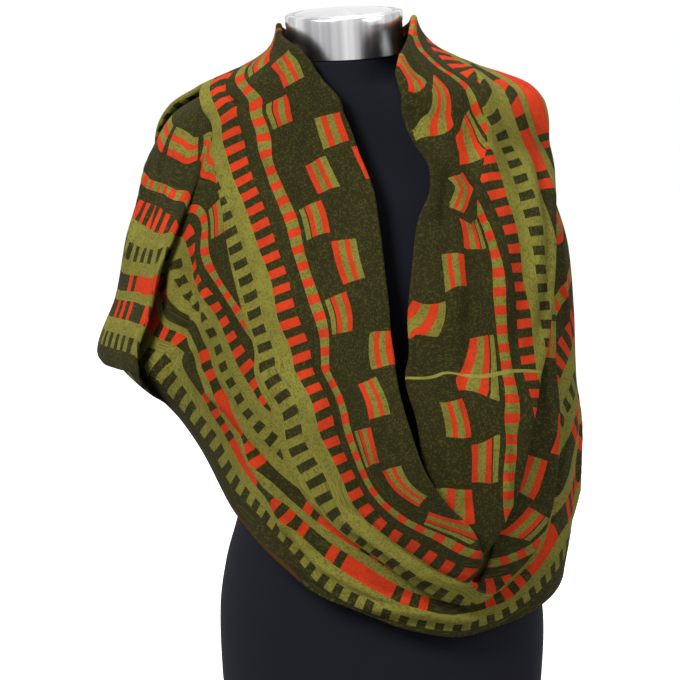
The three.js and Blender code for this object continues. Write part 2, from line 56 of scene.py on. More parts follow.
# The camera stands a little above the middle of the picture and looks slightly down.
PICTURE_MIDDLE = Vector((-0.041, -0.060, 0.410))
PICTURE_WIDTH = 0.680
CAMERA_DISTANCE = 3.8
CAMERA_RISE = 4.5 * DEGREE
SENSOR = 36.0

# How finely the two turns are cut along their length, for each station, and across.
ROWS_PER_STATION = 13
LOWER_COLUMNS = 74
UPPER_COLUMNS = 40

# The drape surface, by columns: how high, how far it is seen to reach left and right, and its
# own reach forward and back.
DRAPE = np.array([
    (90, -176, 178, 140, -146),
    (165, -176, 182, 147, -140),
    (213, -166, 189, 152, -134),
    (234, -163, 191, 155, -132),
    (258, -168, 192, 158, -130),
    (291, -182, 194, 161, -128),
    (321, -204, 196, 162, -127),
    (345, -230, 195, 162, -126),
    (372, -274, 193, 160, -126),
    (389, -290, 192, 158, -126),
    (446, -271, 190, 150, -125),
    (507, -260, 184, 137, -120),
    (548, -247, 172, 126, -114),
    (574, -240, 162, 119, -110),
    (600, -231, 152, 113, -102),
    (633, -210, 146, 108, -86),
    (650, -184, 137, 107, -76),
    (660, -166, 118, 107, -68),
    (668, -150, 98, 107, -60),
    (676, -135, 81, 107, -53),
    (684, -122, 66, 108, -46),
    (692, -112, 53, 108, -39),
    (702, -104, 42, 109, -32),
    (717, -99, 32, 109, -25),
    (735, -98, 27, 108, -20),
    (760, -98, 27, 108, -20),
], float)


def hermite(start, end, slope_start, slope_end, part):
    part2 = part * part
    part3 = part2 * part
    return (
        start * (2 * part3 - 3 * part2 + 1)
        + slope_start * (part3 - 2 * part2 + part)
        + end * (3 * part2 - 2 * part3)
        + slope_end * (part3 - part2)
    )


def table_at(table, level):
    """A table's columns after its first at each level, smooth between its rows."""
    ups = table[:, 0]
    reach = table[:, 1:]
    last = len(ups) - 2
    first = np.minimum(np.searchsorted(ups[1:], level), last)
    below = np.maximum(first - 1, 0)
    above = np.minimum(first + 2, last + 1)
    span = (ups[first + 1] - ups[first])[..., None]
    part = np.clip((level - ups[first])[..., None] / span, 0, 1)
    low_run = np.maximum(ups[first + 1] - ups[below], 1)[..., None]
    high_run = np.maximum(ups[above] - ups[first], 1)[..., None]
    slope_low = (reach[first + 1] - reach[below]) / low_run * (first > 0)[..., None]
    slope_high = (reach[above] - reach[first]) / high_run * (first < last)[..., None]
    values = hermite(reach[first], reach[first + 1], slope_low * span, slope_high * span, part)
    return np.moveaxis(values, -1, 0)


def from_form(aside, forward, up):
    """A point given along the form's own directions, set in the picture's directions."""
    return np.stack(np.broadcast_arrays(
        aside * TURN_COS - forward * TURN_SIN,
        -aside * TURN_SIN - forward * TURN_COS,
        up,
    ), axis=-1)


def drape_section(level):
    """The level ellipse of the drape surface, sized so that it is seen from left to right."""
    left, right, front, back = table_at(DRAPE, np.asarray(level, float))
    middle = (left + right) / 2
    reach = (right - left) / 2
    forward = (front + back) / 2
    depth = (front - back) / 2
    width = np.sqrt(reach * reach - (depth * TURN_SIN) ** 2) / TURN_COS
    aside = (middle + forward * TURN_SIN) / TURN_COS
    lead = np.arctan2(depth * TURN_SIN, width * TURN_COS)
    return middle, reach, forward, depth, width, aside, lead


def drape_point(around, level):
    """Around is measured from the front: -90 degrees is the left outline, 90 the right one."""
    _, _, forward, depth, width, aside, lead = drape_section(level)
    angle = around + lead
    return from_form(aside + width * np.sin(angle), forward + depth * np.cos(angle), level)


def seen(across, up):
    """A place on the front, by how far across and how high it is seen."""
    middle, reach = drape_section(up)[:2]
    sine = min(1.0, max(-1.0, float((across - middle) / reach)))
    return math.asin(sine), up


def turned(degrees, up):
    """A place on the sides or the back, by how far round it is."""
    return degrees * DEGREE, up


def placed(outer_way, inner_way, rows):
    """Rows of numbers with their first four as two places, and a plain lift where none is given."""
    return [
        (outer_way(*row[:2]), inner_way(*row[2:4]), *(row[4:] or (LOWER_LIFT,))) for row in rows]


# The lower turn, once round the form: its hem, its upper edge and the hem's lift.
LOWER_STATIONS = [
    *placed(turned, turned, [
        (-180, 368, -206, 634), (-158, 384, -176, 634), (-135, 397, -142, 642),
        (-112, 403, -112, 652),
    ]),
    *placed(seen, seen, [
        (-290, 383, -158, 662), (-262, 381, -152, 657, 9), (-238, 382, -146, 652, 20),
        (-220, 375, -141, 646, 22), (-219, 350, -135, 638, 5), (-205, 331, -125, 606),
        (-184, 303, -110, 548), (-168, 276, -95, 486), (-150, 244, -78, 422),
        (-128, 218, -60, 366), (-97, 190, -36, 316), (-60, 164, -8, 276), (-16, 147, 25, 248),
        (30, 132, 54, 230), (74, 125, 84, 224), (112, 133, 106, 236), (146, 144, 119, 264),
        (176, 163, 126, 302),
    ]),
    *placed(turned, seen, [
        (98, 188, 131, 346), (112, 226, 136, 400), (124, 262, 140, 456), (137, 296, 142, 520),
        (151, 322, 136, 590),
    ]),
    *placed(turned, turned, [
        (165, 346, 112, 626), (180, 368, 154, 634),
    ]),
]

# The upper turn, from the flap's tucked tip up over the right shoulder, round the back, down
# the left panel, through the cowl and up again under the flap: its outer fold, its neck edge,
# the lift of each, and how far from the cloth's cut edge the outer fold lies.
UPPER_STATIONS = [
    *placed(seen, seen, [
        (96, 216, 84, 224, 20, 20, 210), (104, 228, 64, 252, 20, 20, 205),
        (114, 248, 42, 300, 20, 20, 198), (123, 270, 32, 350, 20, 20, 192),
        (130, 298, 28, 398, 20, 20, 185), (136, 328, 28, 442, 20, 20, 175),
        (143, 364, 32, 488, 20, 20, 157), (149, 400, 37, 528, 20, 20, 143),
        (154, 440, 48, 558, 20, 20, 131), (157, 478, 44, 590, 20, 20, 126),
        (158, 516, 27, 626, 20, 19, 120), (157, 554, 20, 656, 20, 17, 115),
        (152, 588, 14, 682, 20, 14, 100), (147, 618, 22, 706, 20, 10, 85),
    ]),
    *placed(turned, turned, [
        (95, 641, 84, 731, 20, 7.5, 75), (122, 596, 118, 722, 15, 8, 84),
        (152, 545, 150, 710, 11, 10, 94), (180, 520, 182, 706, 11, 11, 104),
        (208, 528, 214, 710, 11, 10, 113), (236, 560, 243, 717, 11, 8, 122),
        (261, 615, 270, 724, 10.3, 6, 132), (274, 654, 283, 715, 11, 6, 140),
    ]),
    *placed(seen, seen, [
        (-167, 630, -76, 697, 11, 8, 137), (-162, 594, -52, 665, 11, 10, 133),
        (-156, 556, -30, 624, 11, 11, 129), (-149, 514, -12, 574, 11, 11, 124),
        (-141, 474, -2, 528, 11, 11, 117), (-131, 435, 4, 480, 11, 13, 110),
        (-119, 395, 9, 432, 11, 18, 106), (-106, 353, 15, 386, 11, 25, 103),
        (-92, 306, 25, 342, 11, 31, 101), (-72, 267, 40, 298, 11, 33, 100),
        (-42, 236, 60, 264, 11, 33, 100), (-3, 207, 81, 240, 11, 33, 100),
        (35, 178, 89, 214, 11, 31, 103), (68, 161, 82, 190, 11, 22, 106),
        (96, 162, 92, 184, 11, 14, 128), (122, 186, 103, 206, 11, 11, 155),
        (147, 216, 107, 240, 11, 11, 180), (160, 256, 108, 288, 11, 11, 200),
        (165, 310, 104, 342, 11, 11, 213), (165, 369, 98, 402, 11, 11, 225),
        (163, 430, 94, 466, 11, 11, 230), (159, 490, 92, 530, 11, 11, 235),
        (146, 556, 92, 590, 11, 11, 240),
    ]),
]

# The largest folds, as in the part: where each runs from and to, its height, and its width
# on the side of the neck and on the side of the hem.
LOWER_FOLDS = [
    *placed(seen, seen, [
        (-178, 520, -172, 390, 7, 14, 14), (-138, 310, -90, 215, 8, 12, 14),
        (-30, 160, 100, 140, 7, 7, 14),
    ]),
    *placed(turned, turned, [
        (106, 400, 90, 225, 8, 12, 14), (121, 470, 116, 290, 11, 20, 20),
        (151, 480, 150, 341, 13, 22, 24), (200, 490, 202, 388, 14, 24, 26),
        (228, 500, 229, 404, 13, 22, 22),
    ]),
]
UPPER_FOLDS = [
    *placed(seen, seen, [
        (94, 636, 108, 420, 8, 20, 22), (62, 628, 66, 400, 6, 14, 14),
        (126, 606, 132, 420, 5, 12, 12), (-108, 676, -70, 560, 5, 16, 12),
        (-90, 470, -40, 320, 5, 26, 20), (-40, 250, 50, 185, 6, 14, 10),
    ]),
    *placed(turned, turned, [
        (240, 640, 130, 650, 8, 18, 18), (232, 590, 136, 600, 7, 14, 18),
    ]),
]

# Smaller creases of each turn: how their places are given, the stations they lie between, their
# height (below nought for a trough), their width on the neck's side and on the hem's side, and
# the places they pass.
LOWER_CREASES = [
    (seen, 3, 10, 8, 5, 18, [(-206, 352), (-209, 400), (-206, 450), (-201, 505)]),
    (seen, 3, 12, -5, 8, 6, [(-194, 350), (-197, 400), (-194, 450), (-188, 505)]),
    (seen, 6, 16, 5, 10, 10, [(-176, 430), (-150, 345), (-118, 285)]),
    (seen, 6, 16, -4, 8, 8, [(-190, 470), (-166, 390), (-138, 320), (-100, 262)]),
    (seen, 10, 22, 4, 8, 8, [(-110, 250), (-60, 195), (0, 165), (62, 150)]),
    (seen, 10, 20, -3, 6, 6, [(-125, 225), (-80, 182), (-30, 152), (24, 138)]),
    (seen, 17, 25, 4, 9, 9, [(108, 150), (140, 182), (160, 230), (170, 290)]),
    (seen, 18, 26, -3.5, 8, 8, [(150, 190), (167, 240), (177, 300), (182, 360)]),
    (seen, 2, 8, 4, 12, 12, [(-230, 600), (-244, 540), (-253, 470)]),
    (seen, 2, 9, -3, 10, 10, [(-213, 606), (-227, 548), (-232, 490)]),
    (seen, 2, 10, 3, 9, 9, [(-190, 636), (-204, 586), (-211, 530)]),
    (seen, 20, 28, 3, 10, 10, [(152, 596), (168, 540), (178, 470), (184, 400)]),
    (turned, 22, 28, 5, 12, 12, [(133, 520), (130, 430), (131, 330)]),
    (turned, 24, 28, 5, 14, 14, [(167, 560), (161, 460), (160, 372)]),
    (turned, 0, 5, 5, 12, 12, [(215, 560), (213, 480), (214, 410)]),
    (turned, 0, 5, 4, 10, 10, [(241, 560), (238, 480), (240, 420)]),
]
UPPER_CREASES = [
    (seen, 24, 37, -5, 9, 12, [(-62, 430), (-50, 372), (-33, 312), (-10, 262), (22, 222)]),
    (seen, 24, 37, 4, 14, 12, [(-40, 440), (-22, 375), (0, 315), (26, 270)]),
    (seen, 20, 30, -4, 7, 7, [(-147, 678), (-134, 640), (-121, 596)]),
    (seen, 20, 32, 4, 16, 14, [(-88, 690), (-70, 640), (-50, 580), (-34, 520)]),
    (seen, 20, 33, -3, 14, 14, [(-98, 640), (-82, 560), (-60, 480), (-46, 430)]),
    (seen, 20, 35, 3.5, 12, 12, [(-140, 560), (-122, 500), (-108, 430), (-88, 360), (-60, 290)]),
    (seen, 30, 38, -4, 6, 6, [(-30, 262), (10, 228), (50, 200), (80, 186)]),
    (seen, 30, 38, 3, 6, 6, [(-20, 240), (20, 206), (60, 178)]),
    (seen, 0, 15, -5, 7, 7, [(66, 588), (58, 545), (55, 512)]),
    (seen, 0, 15, 4, 12, 12, [(40, 600), (48, 540), (52, 470), (50, 400)]),
    (seen, 0, 15, -4, 10, 10, [(74, 532), (80, 460), (78, 390), (82, 332)]),
    (seen, 0, 15, 4, 9, 9, [(104, 522), (112, 450), (116, 380), (118, 322)]),
    (seen, 0, 15, -3, 7, 7, [(138, 600), (146, 540), (148, 480), (142, 410)]),
    (seen, 0, 10, 4, 10, 10, [(45, 370), (57, 312), (78, 262)]),
    (seen, 0, 10, -4, 8, 8, [(70, 370), (84, 310), (96, 258)]),
    (seen, 0, 10, 4, 8, 8, [(100, 372), (112, 310), (112, 258)]),
    (seen, 5, 15, -4, 9, 9, [(18, 692), (33, 650), (38, 608)]),
    (seen, 5, 15, 3, 9, 9, [(60, 655), (70, 625), (74, 590)]),
    (seen, 37, 44, 3, 8, 8, [(157, 240), (160, 330), (155, 420), (150, 500)]),
    (turned, 13, 23, 4, 10, 10, [(100, 690), (140, 652), (180, 632), (222, 645)]),
    (turned, 13, 23, -3, 8, 8, [(118, 640), (160, 590), (200, 580), (236, 612)]),
    (turned, 13, 23, 3, 7, 7, [(108, 708), (150, 688), (190, 684), (232, 696)]),
]

FOLD_PIECES = 8
CREASE_PIECES = 4

# How steeply a fold rises from its ends, and over which part of the width it fades at the neck.
END_STEEPNESS = 1.8
NECK_FADE = 1 / 6

# Steps by which directions on the drape and on the strip are measured.
AROUND_STEP = 0.01
LEVEL_STEP = 1.0
STRIP_STEP = 0.02


def filled(columns, pieces):
    """Columns of numbers with more set evenly between them, so many pieces to each leg."""
    last = len(columns[0]) - 1
    steps = np.linspace(0, last, pieces * last + 1)
    return [np.interp(steps, np.arange(last + 1), column) for column in columns]


def drape_line(places, pieces):
    """A run of points on the drape surface through a few places."""
    rounds, levels = np.transpose(places)
    return drape_point(*filled((np.unwrap(rounds), levels), pieces))


def nearest_on(points, toward_neck, line):
    """For each point: how far the line is, on which side of it, and how far along it, to 1."""
    pieces = len(line) - 1
    best = np.full(len(points), np.inf)
    side = np.zeros(len(points))
    along = np.zeros(len(points))
    for piece in range(pieces):
        run = line[piece + 1] - line[piece]
        offset = points - line[piece]
        part = np.clip(offset @ run / (run @ run), 0, 1)
        away = offset - part[:, None] * run
        distance = np.linalg.norm(away, axis=1)
        closer = distance < best
        best = np.where(closer, distance, best)
        side = np.where(closer, (away * toward_neck).sum(1), side)
        along = np.where(closer, (piece + part) / pieces, along)
    return best, side, along


def raised(points, toward_neck, line, height, near, far):
    """How far a fold lifts the cloth at each point, softly fading to its sides and its ends."""
    best, side, along = nearest_on(points, toward_neck, line)
    reach = np.where(side > 0, near, far)
    across_fade = 0.5 + 0.5 * np.cos(np.pi * np.minimum(best / reach, 1))
    end_fade = np.minimum(1, np.sin(np.pi * along) * END_STEEPNESS)
    return height * across_fade * end_fade


def raised_on(foot, line, *sizes):
    """How far a fold lifts each spot of a grid, by the spots' feet on the drape surface."""
    toward_neck = np.gradient(foot, axis=1).reshape(-1, 3)
    return raised(foot.reshape(-1, 3), toward_neck, line, *sizes).reshape(foot.shape[:2])


def neck_fade(across):
    return np.minimum(1, (1 - across) / NECK_FADE)


def crease_height(creases, foot, places):
    """The heights of a turn's creases over its grid."""
    total = np.zeros(foot.shape[:2])
    for way, first, last, *sizes, stops in creases:
        line = drape_line([way(*stop) for stop in stops], CREASE_PIECES)
        inside = np.clip(np.minimum(places - first, last - places) + 0.5, 0, 1)
        total += raised_on(foot, line, *sizes) * inside[:, None]
    return total


def unit(vectors):
    return vectors / np.maximum(np.linalg.norm(vectors, axis=-1, keepdims=True), 1e-9)


def dot(a, b):
    return (a * b).sum(-1)


class Turn:
    """One turn of the scarf: a strip that runs through its stations, with folds raised on it."""

    def __init__(self, stations, folds, rise):
        self.values = np.array([
            (*outer, *inner, *rest) for outer, inner, *rest in stations
        ], float)
        self.values[:, 0] = np.unwrap(self.values[:, 0])
        self.values[:, 2] = np.unwrap(self.values[:, 2])
        self.last = len(stations) - 1
        self.folds = [
            (drape_line([start, end], FOLD_PIECES), sizes) for start, end, *sizes in folds]
        self.rise = rise

    def station(self, place):
        """The table's values between its stations, smooth through them."""
        first = np.minimum(place.astype(int), self.last - 1)
        rows = self.values
        before = rows[np.maximum(first - 1, 0)]
        start = rows[first]
        end = rows[first + 1]
        after = rows[np.minimum(first + 2, self.last)]
        part = (place - first)[..., None]
        return hermite(start, end, (end - before) / 2, (after - start) / 2, part)

    def bare(self, place, across):
        """The cloth's middle before folds, its foot on the drape surface, and outward."""
        value = self.station(place)
        around = value[..., 0] + across * (value[..., 2] - value[..., 0])
        level = value[..., 1] + across * (value[..., 3] - value[..., 1])
        rise = self.rise(across)
        out_lift = value[..., 4]
        in_lift = value[..., 5] if value.shape[-1] > 5 else LOWER_LIFT
        lift = out_lift + rise * (in_lift - out_lift)
        foot = drape_point(around, level)
        sideways = drape_point(around + AROUND_STEP, level) - foot
        upward = drape_point(around, level + LEVEL_STEP) - foot
        outward = unit(np.cross(sideways, upward))
        return foot + outward * lift[..., None], foot, outward

    def cloth(self, place, across):
        """The cloth's middle with the folds raised on it."""
        place = np.asarray(place, float)
        across = np.asarray(across, float)
        point, foot, outward = self.bare(place, across)
        step = np.where(across > 0.5, -STRIP_STEP, STRIP_STEP)
        toward_neck = (self.bare(place, across + step)[1] - foot) * np.sign(step)[..., None]
        flat_foot = foot.reshape(-1, 3)
        flat_neck = toward_neck.reshape(-1, 3)
        height = sum(
            raised(flat_foot, flat_neck, line, *sizes) for line, sizes in self.folds)
        return point + outward * (height.reshape(place.shape) * neck_fade(across))[..., None]

    def frame(self, place, across):
        """The cloth's point, the way in and the way outward."""
        point = self.cloth(place, across)
        ahead = self.cloth(np.minimum(place + STRIP_STEP, self.last), across)
        behind = self.cloth(np.maximum(place - STRIP_STEP, 0), across)
        inner = self.cloth(place, np.minimum(across + STRIP_STEP, 1))
        outer = self.cloth(place, np.maximum(across - STRIP_STEP, 0))
        along = unit(ahead - behind)
        outward = unit(np.cross(along, unit(inner - outer)))
        inward = unit(np.cross(outward, along))
        return point, inward, outward


# The points round a rolled edge and along its tucked strip, and the largest share of the width
# that the strip may take.
ROLL_STEPS = 5
STRIP_STEPS = 2
STRIP_SHARE = 1 / 4


def rolled_edge(turn, place, across, side, width):
    """A soft fold at an edge: the cloth turns under itself and runs back a little way."""
    point, inward, outward = turn.frame(place, across)
    edge_out = inward * side
    strip = np.minimum(TUCKED_STRIP, width * STRIP_SHARE)[:, None]
    under = point - outward * 2 * ROLL_RADIUS
    columns = [under - edge_out * strip * (1 - step / STRIP_STEPS) for step in range(STRIP_STEPS)]
    for step in range(ROLL_STEPS):
        angle = math.pi * step / ROLL_STEPS
        reach = outward * -math.cos(angle) + edge_out * math.sin(angle)
        columns.append(point - outward * ROLL_RADIUS + reach * ROLL_RADIUS)
    return columns


def even_grid(turn, columns):
    """Where along a turn its grid has rows, then that and the share across for every spot."""
    places = np.linspace(0, turn.last, turn.last * ROWS_PER_STATION + 1)
    across, place_grid = np.meshgrid(np.linspace(0, 1, columns + 1), places)
    return places, place_grid, across


def upper_grid(turn, creases):
    """The upper turn's middle surface: rows along the strip, columns across it."""
    places, place_grid, across = even_grid(turn, UPPER_COLUMNS)
    ends = np.zeros_like(places)
    width = np.linalg.norm(turn.cloth(places, ends) - turn.cloth(places, ends + 1), axis=1)
    inset = np.minimum(ROLL_RADIUS / width, STRIP_SHARE)
    across = inset[:, None] + across * (1 - 2 * inset[:, None])
    _, foot, outward = turn.bare(place_grid, across)
    main = turn.cloth(place_grid, across)
    height = crease_height(creases, foot, places)
    edge = edge_line(foot, main, places)
    height += raised_on(foot, edge, *FLAP_RIDGE) * (places <= FLAP_STATIONS[1])[:, None]
    lift = outward * height[..., None]
    main = main + lift
    low = np.stack(rolled_edge(turn, places, inset, -1, width), 1) + lift[:, :1]
    high = np.stack(rolled_edge(turn, places, 1 - inset, 1, width)[::-1], 1) + lift[:, -1:]
    return np.concatenate([low, main, high], 1), foot, places, edge


def lower_grid(turn, creases):
    """The lower turn's middle surface, from its hem to its upper edge."""
    places, place_grid, across = even_grid(turn, LOWER_COLUMNS)
    _, foot, outward = turn.bare(place_grid, across)
    height = crease_height(creases, foot, places) * neck_fade(across)
    return turn.cloth(place_grid, across) + outward * height[..., None], foot, places


# The cloth's width from cut edge to cut edge, over how many rows the pattern is evened, every
# how many rows the hem's line has a point, and the least share of its distance from the cut
# edge that a spot keeps.
CLOTH_WIDTH = 528
PATTERN_EVENING = 14
HEM_STEP = 4
HEM_LEAST = 0.5

# The cloth's bands, each by its middle and its half width from the cut edge, in which the
# pattern runs true along the band, and over which distance one passes into the next.
BAND_FADE = 3.0
LEAST_WEIGHT = 1e-4
BANDS = {
    "teeth": (23, 11),
    "wide_blocks": (52.5, 13),
    "narrow_blocks": (82, 13),
    "spots": (116.5, 12),
    "ladder": (151, 13),
    "dashes": (181.5, 9),
    "squares": (245, 50),
}


def smoothed(line, reach):
    """A line of points evened out along itself, over a number of points to each side."""
    weights = np.hanning(2 * reach + 3)[1:-1]
    weights /= weights.sum()
    padded = np.concatenate([
        np.repeat(line[:1], reach, 0), line, np.repeat(line[-1:], reach, 0)])
    return np.stack([
        np.convolve(padded[:, axis], weights, "valid") for axis in range(line.shape[1])], 1)


# Places of the picture that a band's middle passes, by band: how far to the right of the
# form's middle and how high each is seen.
LOWER_SEEN = {
    "teeth": [
        (-77, 190), (-63, 175), (-33, 154), (-1, 138), (33, 129), (67, 124), (106, 131),
        (130, 141), (148, 156), (-257, 406), (-243, 398), (-227, 389), (-187, 345), (-174, 329),
        (-165, 302), (-156, 283), (-146, 270), (-134, 255), (-112, 230), (-95, 211)],
    "wide_blocks": [
        (-67, 211), (-31, 186), (5, 163), (44, 147), (71, 141), (106, 147), (123, 154),
        (139, 166), (155, 186), (169, 216), (193, 260), (-253, 441), (-235, 429), (-221, 421),
        (-175, 355), (-162, 329), (-143, 298), (-124, 270), (-105, 242), (-84, 225)],
    "narrow_blocks": [
        (-244, 469), (-224, 460), (-199, 428), (-180, 406), (-166, 371), (-153, 343), (-142, 323),
        (-134, 310), (-120, 285), (-102, 269), (-84, 255), (-62, 238), (192, 320)],
    "spots": [
        (-243, 496), (-227, 492), (-199, 466), (-178, 442), (-160, 387), (-147, 358), (-137, 345),
        (-127, 329), (-115, 317), (-103, 304), (190, 354)],
    "ladder": [
        (-241, 542), (-209, 525), (-186, 488), (-168, 440), (-150, 412), (-123, 367),
        (187, 410)],
    "dashes": [
        (-240, 574), (-211, 558), (-194, 538), (-181, 496), (-172, 480), (-161, 467),
        (-142, 439), (-135, 427), (188, 471), (168, 434)],
}
FLAP_SEEN = {
    "dashes": [
        (50, 689), (69, 673), (89, 656), (96, 647), (98, 539), (105, 524), (112, 506),
        (119, 471), (120, 434), (124, 400), (127, 383), (130, 362), (129, 331)],
    "ladder": [
        (69, 689), (80, 684), (88, 676), (107, 583), (111, 567), (118, 552), (124, 535),
        (129, 518), (135, 483), (141, 448), (145, 412), (147, 394)],
    "spots": [
        (105, 649), (111, 637), (118, 621), (124, 606), (130, 590), (137, 573), (142, 557),
        (148, 540), (154, 524), (157, 506)],
    "narrow_blocks": [(140, 631), (146, 616), (154, 592), (162, 565)],
    "wide_blocks": [(152, 644)],
}
PANEL_SEEN = {
    "dashes": [
        (-141, 673), (-130, 657), (-124, 633), (-116, 603), (-107, 572), (-95, 543), (-84, 511),
        (-74, 476), (-64, 437), (-56, 398), (-48, 360), (-36, 325)],
    "ladder": [
        (-159, 667), (-155, 638), (-147, 608), (-138, 578), (-127, 545), (-115, 512),
        (-104, 477), (-93, 439), (-81, 401), (-68, 364), (-55, 328), (-41, 296), (-25, 265),
        (-8, 233)],
    "spots": [
        (-146, 504), (-134, 468), (-124, 431), (-114, 393), (-100, 356), (-87, 318), (-74, 285),
        (-58, 251)],
}

# The striped squares that are seen: place, row along the cloth and column from the dashes. The
# rows count on from the flap's tucked tip, and the lower turn's follow the upper turn's.
FLAP_SQUARES = [
    (75, 244, 0, 1), (105, 288, 1, 0), (77, 329, 2, 1), (102, 394, 3, 0), (45, 431, 4, 2),
    (74, 482, 5, 1), (92, 517, 6, 0), (90, 609, 8, 0), (58, 631, 9, 1),
    (27, 679, 10, 2),
]
PANEL_SQUARES = [
    (-52, 621, 25, 2), (-57, 572, 26, 1), (-66, 533, 27, 0), (-34, 489, 28, 1),
    (-39, 437, 29, 0), (-3, 399, 30, 2), (-4, 350, 31, 1), (-13, 305, 32, 0), (20, 263, 33, 1),
]
LOWER_SQUARES = [(-217, 622, 41, 1), (-207, 577, 42, 0), (-170, 584, 43, 1), (-161, 531, 44, 0)]
FLAP_STATIONS = (0, 14.6)
PANEL_STATIONS = (20.5, 36.5)
LOWER_STATIONS_SEEN = (2.5, 26)

# A square's width and length, and how far the squares lie apart along and across the cloth.
SQUARE_WIDE, SQUARE_LONG, SQUARE_ROW, SQUARE_STEP = 28.5, 36.5, 44.0, 29.0
SQUARE_FIRST = 206.0

# The overlocked seam crosses the flap: its place along the squares' rows, how much the rows
# beyond it are shifted, and where it is seen. The lower turn's rows start at a length of their own.
SEAM_ALONG = 154.0
LOWER_ROWS_FROM = 1540.0
SEAM_SHIFT = 22.0
SEAM_SEEN = [(28, 373), (59, 375), (89, 376), (119, 377), (148, 379)]

# The flap's fold edge: the places of the picture it passes and how much cloth it hides there,
# the stations over which it ends, then the ridge's height and its width on the neck's side and
# on the hem's side.
FLAP_TUCK = [
    (87, 686, 56), (93, 672, 57), (100, 647, 58), (104, 623, 62), (105, 597, 60), (101, 577, 53),
    (97, 560, 50), (96, 545, 26), (96, 530, 0),
]
TUCK_FADES = (13.0, 15.5)
FLAP_RIDGE = (7, 8, 18)

# The pattern's corrections are carried from wide to near: how far each step reaches, and how
# much of a correction it may give up to stay even.
STATION_RUN = 45.0
PLACE_REACHES = ((150.0, 1.0), (80.0, 0.3), (42.0, 0.12))

# How much a spot is preferred for each millimetre that it is nearer to the viewer.
NEARER = 0.05


def as_seen(points):
    """Where points are seen in the picture, in millimetres at the depth of its middle."""
    offset = points - np.array(PICTURE_MIDDLE) / MM
    toward = offset[..., 2] * math.sin(CAMERA_RISE) - offset[..., 1] * math.cos(CAMERA_RISE)
    upward = offset[..., 2] * math.cos(CAMERA_RISE) + offset[..., 1] * math.sin(CAMERA_RISE)
    scale = CAMERA_DISTANCE / (CAMERA_DISTANCE - toward * MM)
    return (
        offset[..., 0] * scale + PICTURE_MIDDLE[0] / MM,
        upward * scale + PICTURE_MIDDLE[2] / MM,
    )


def spot_seen(points, places, stations, place):
    """The grid spot between two stations that shows at a place, the nearest to the viewer."""
    aside, up = as_seen(points)
    miss = np.hypot(aside - place[0], up - place[1]) + NEARER * points[..., 1]
    outside = (places < stations[0]) | (places > stations[1])
    miss[outside] = np.inf
    return np.unravel_index(np.argmin(miss), miss.shape)


def edge_line(foot, points, places):
    """The flap's fold edge on the drape surface, found from where it is seen."""
    stops = np.array([
        foot[spot_seen(points, places, FLAP_STATIONS, stop)] for stop in FLAP_TUCK])
    return np.stack(filled(stops.T, CREASE_PIECES), 1)


def nearness(spots, centres, reach):
    apart = ((spots[:, None] - centres[None]) ** 2).sum(-1)
    return np.exp(-apart / reach ** 2)


def carried(centres, values):
    """Corrections known at a few places, as a rule that carries them smoothly to any others."""
    left = np.array(values, float)
    steps = []
    for reach, slack in PLACE_REACHES:
        near = nearness(centres, centres, reach)
        weights = np.linalg.solve(near + slack * np.eye(len(centres)), left)
        left = left - near @ weights
        steps.append((reach, weights))

    def rule(metric):
        spots = metric.reshape(-1, 2)
        total = sum(nearness(spots, centres, reach) @ weights for reach, weights in steps)
        return total.reshape(metric.shape[:2])

    return rule


def run_along(line):
    """How far along a line of points each of them lies."""
    return np.concatenate([[0], np.cumsum(np.linalg.norm(np.diff(line, axis=0), axis=1))])


def band_run(foot, across, middle):
    """How far along each spot lies, measured on the line that runs across at one distance."""
    line = np.array([
        [np.interp(middle, across[row], foot[row, :, axis]) for axis in range(3)]
        for row in range(len(foot))
    ])
    line = smoothed(line, PATTERN_EVENING)
    tangent = unit(np.gradient(line, axis=0))
    return run_along(line)[:, None] + dot(foot - line[:, None, :], tangent[:, None, :])


def tucked(foot, places, edge):
    """How much of the cloth the flap's fold edge hides, and how far in from it each spot is."""
    toward_neck = np.gradient(foot, axis=1).reshape(-1, 3)
    best, side, along = nearest_on(foot.reshape(-1, 3), toward_neck, edge)
    stops = np.linspace(0, 1, len(FLAP_TUCK))
    hidden = np.interp(along, stops, [stop[2] for stop in FLAP_TUCK]).reshape(foot.shape[:2])
    full, gone = TUCK_FADES
    fade = np.clip((gone - places) / (gone - full), 0, 1)
    return hidden * fade[:, None], (np.sign(side) * best).reshape(foot.shape[:2])


def cut_distance(foot, cut_start):
    """How far from the cut edge each grid spot lies, before bands are set where they are seen.

    It is measured on the drape surface, so that folds and lifts don't disturb the pattern.
    """
    along_lines = unit(np.gradient(foot, axis=0))
    steps = np.diff(foot, axis=1)
    slant = unit(along_lines[:, 1:] + along_lines[:, :-1])
    square = np.linalg.norm(steps - dot(steps, slant)[..., None] * slant, axis=2)
    across = np.concatenate([np.zeros((len(foot), 1)), np.cumsum(square, 1)], 1)
    return smoothed(across, PATTERN_EVENING) + cut_start[:, None]


def hem_distance(foot):
    """How far each spot of the lower turn lies from the line of its hem."""
    hem = foot[::HEM_STEP, 0]
    spots = foot.reshape(-1, 3)
    return nearest_on(spots, np.zeros_like(spots), hem)[0].reshape(foot.shape[:2])


def band_length(foot, across):
    """How far along each spot lies, in the middle of its own band."""
    total = np.zeros_like(across)
    weight_sum = np.zeros_like(across)
    mirrored = np.minimum(across, CLOTH_WIDTH - across)
    for middle, half in BANDS.values():
        past = half + BAND_FADE - abs(mirrored - middle)
        weight = np.clip(past / BAND_FADE, LEAST_WEIGHT, 1)
        total += weight * band_run(foot, across, middle)
        weight_sum += weight
    return total / weight_sum


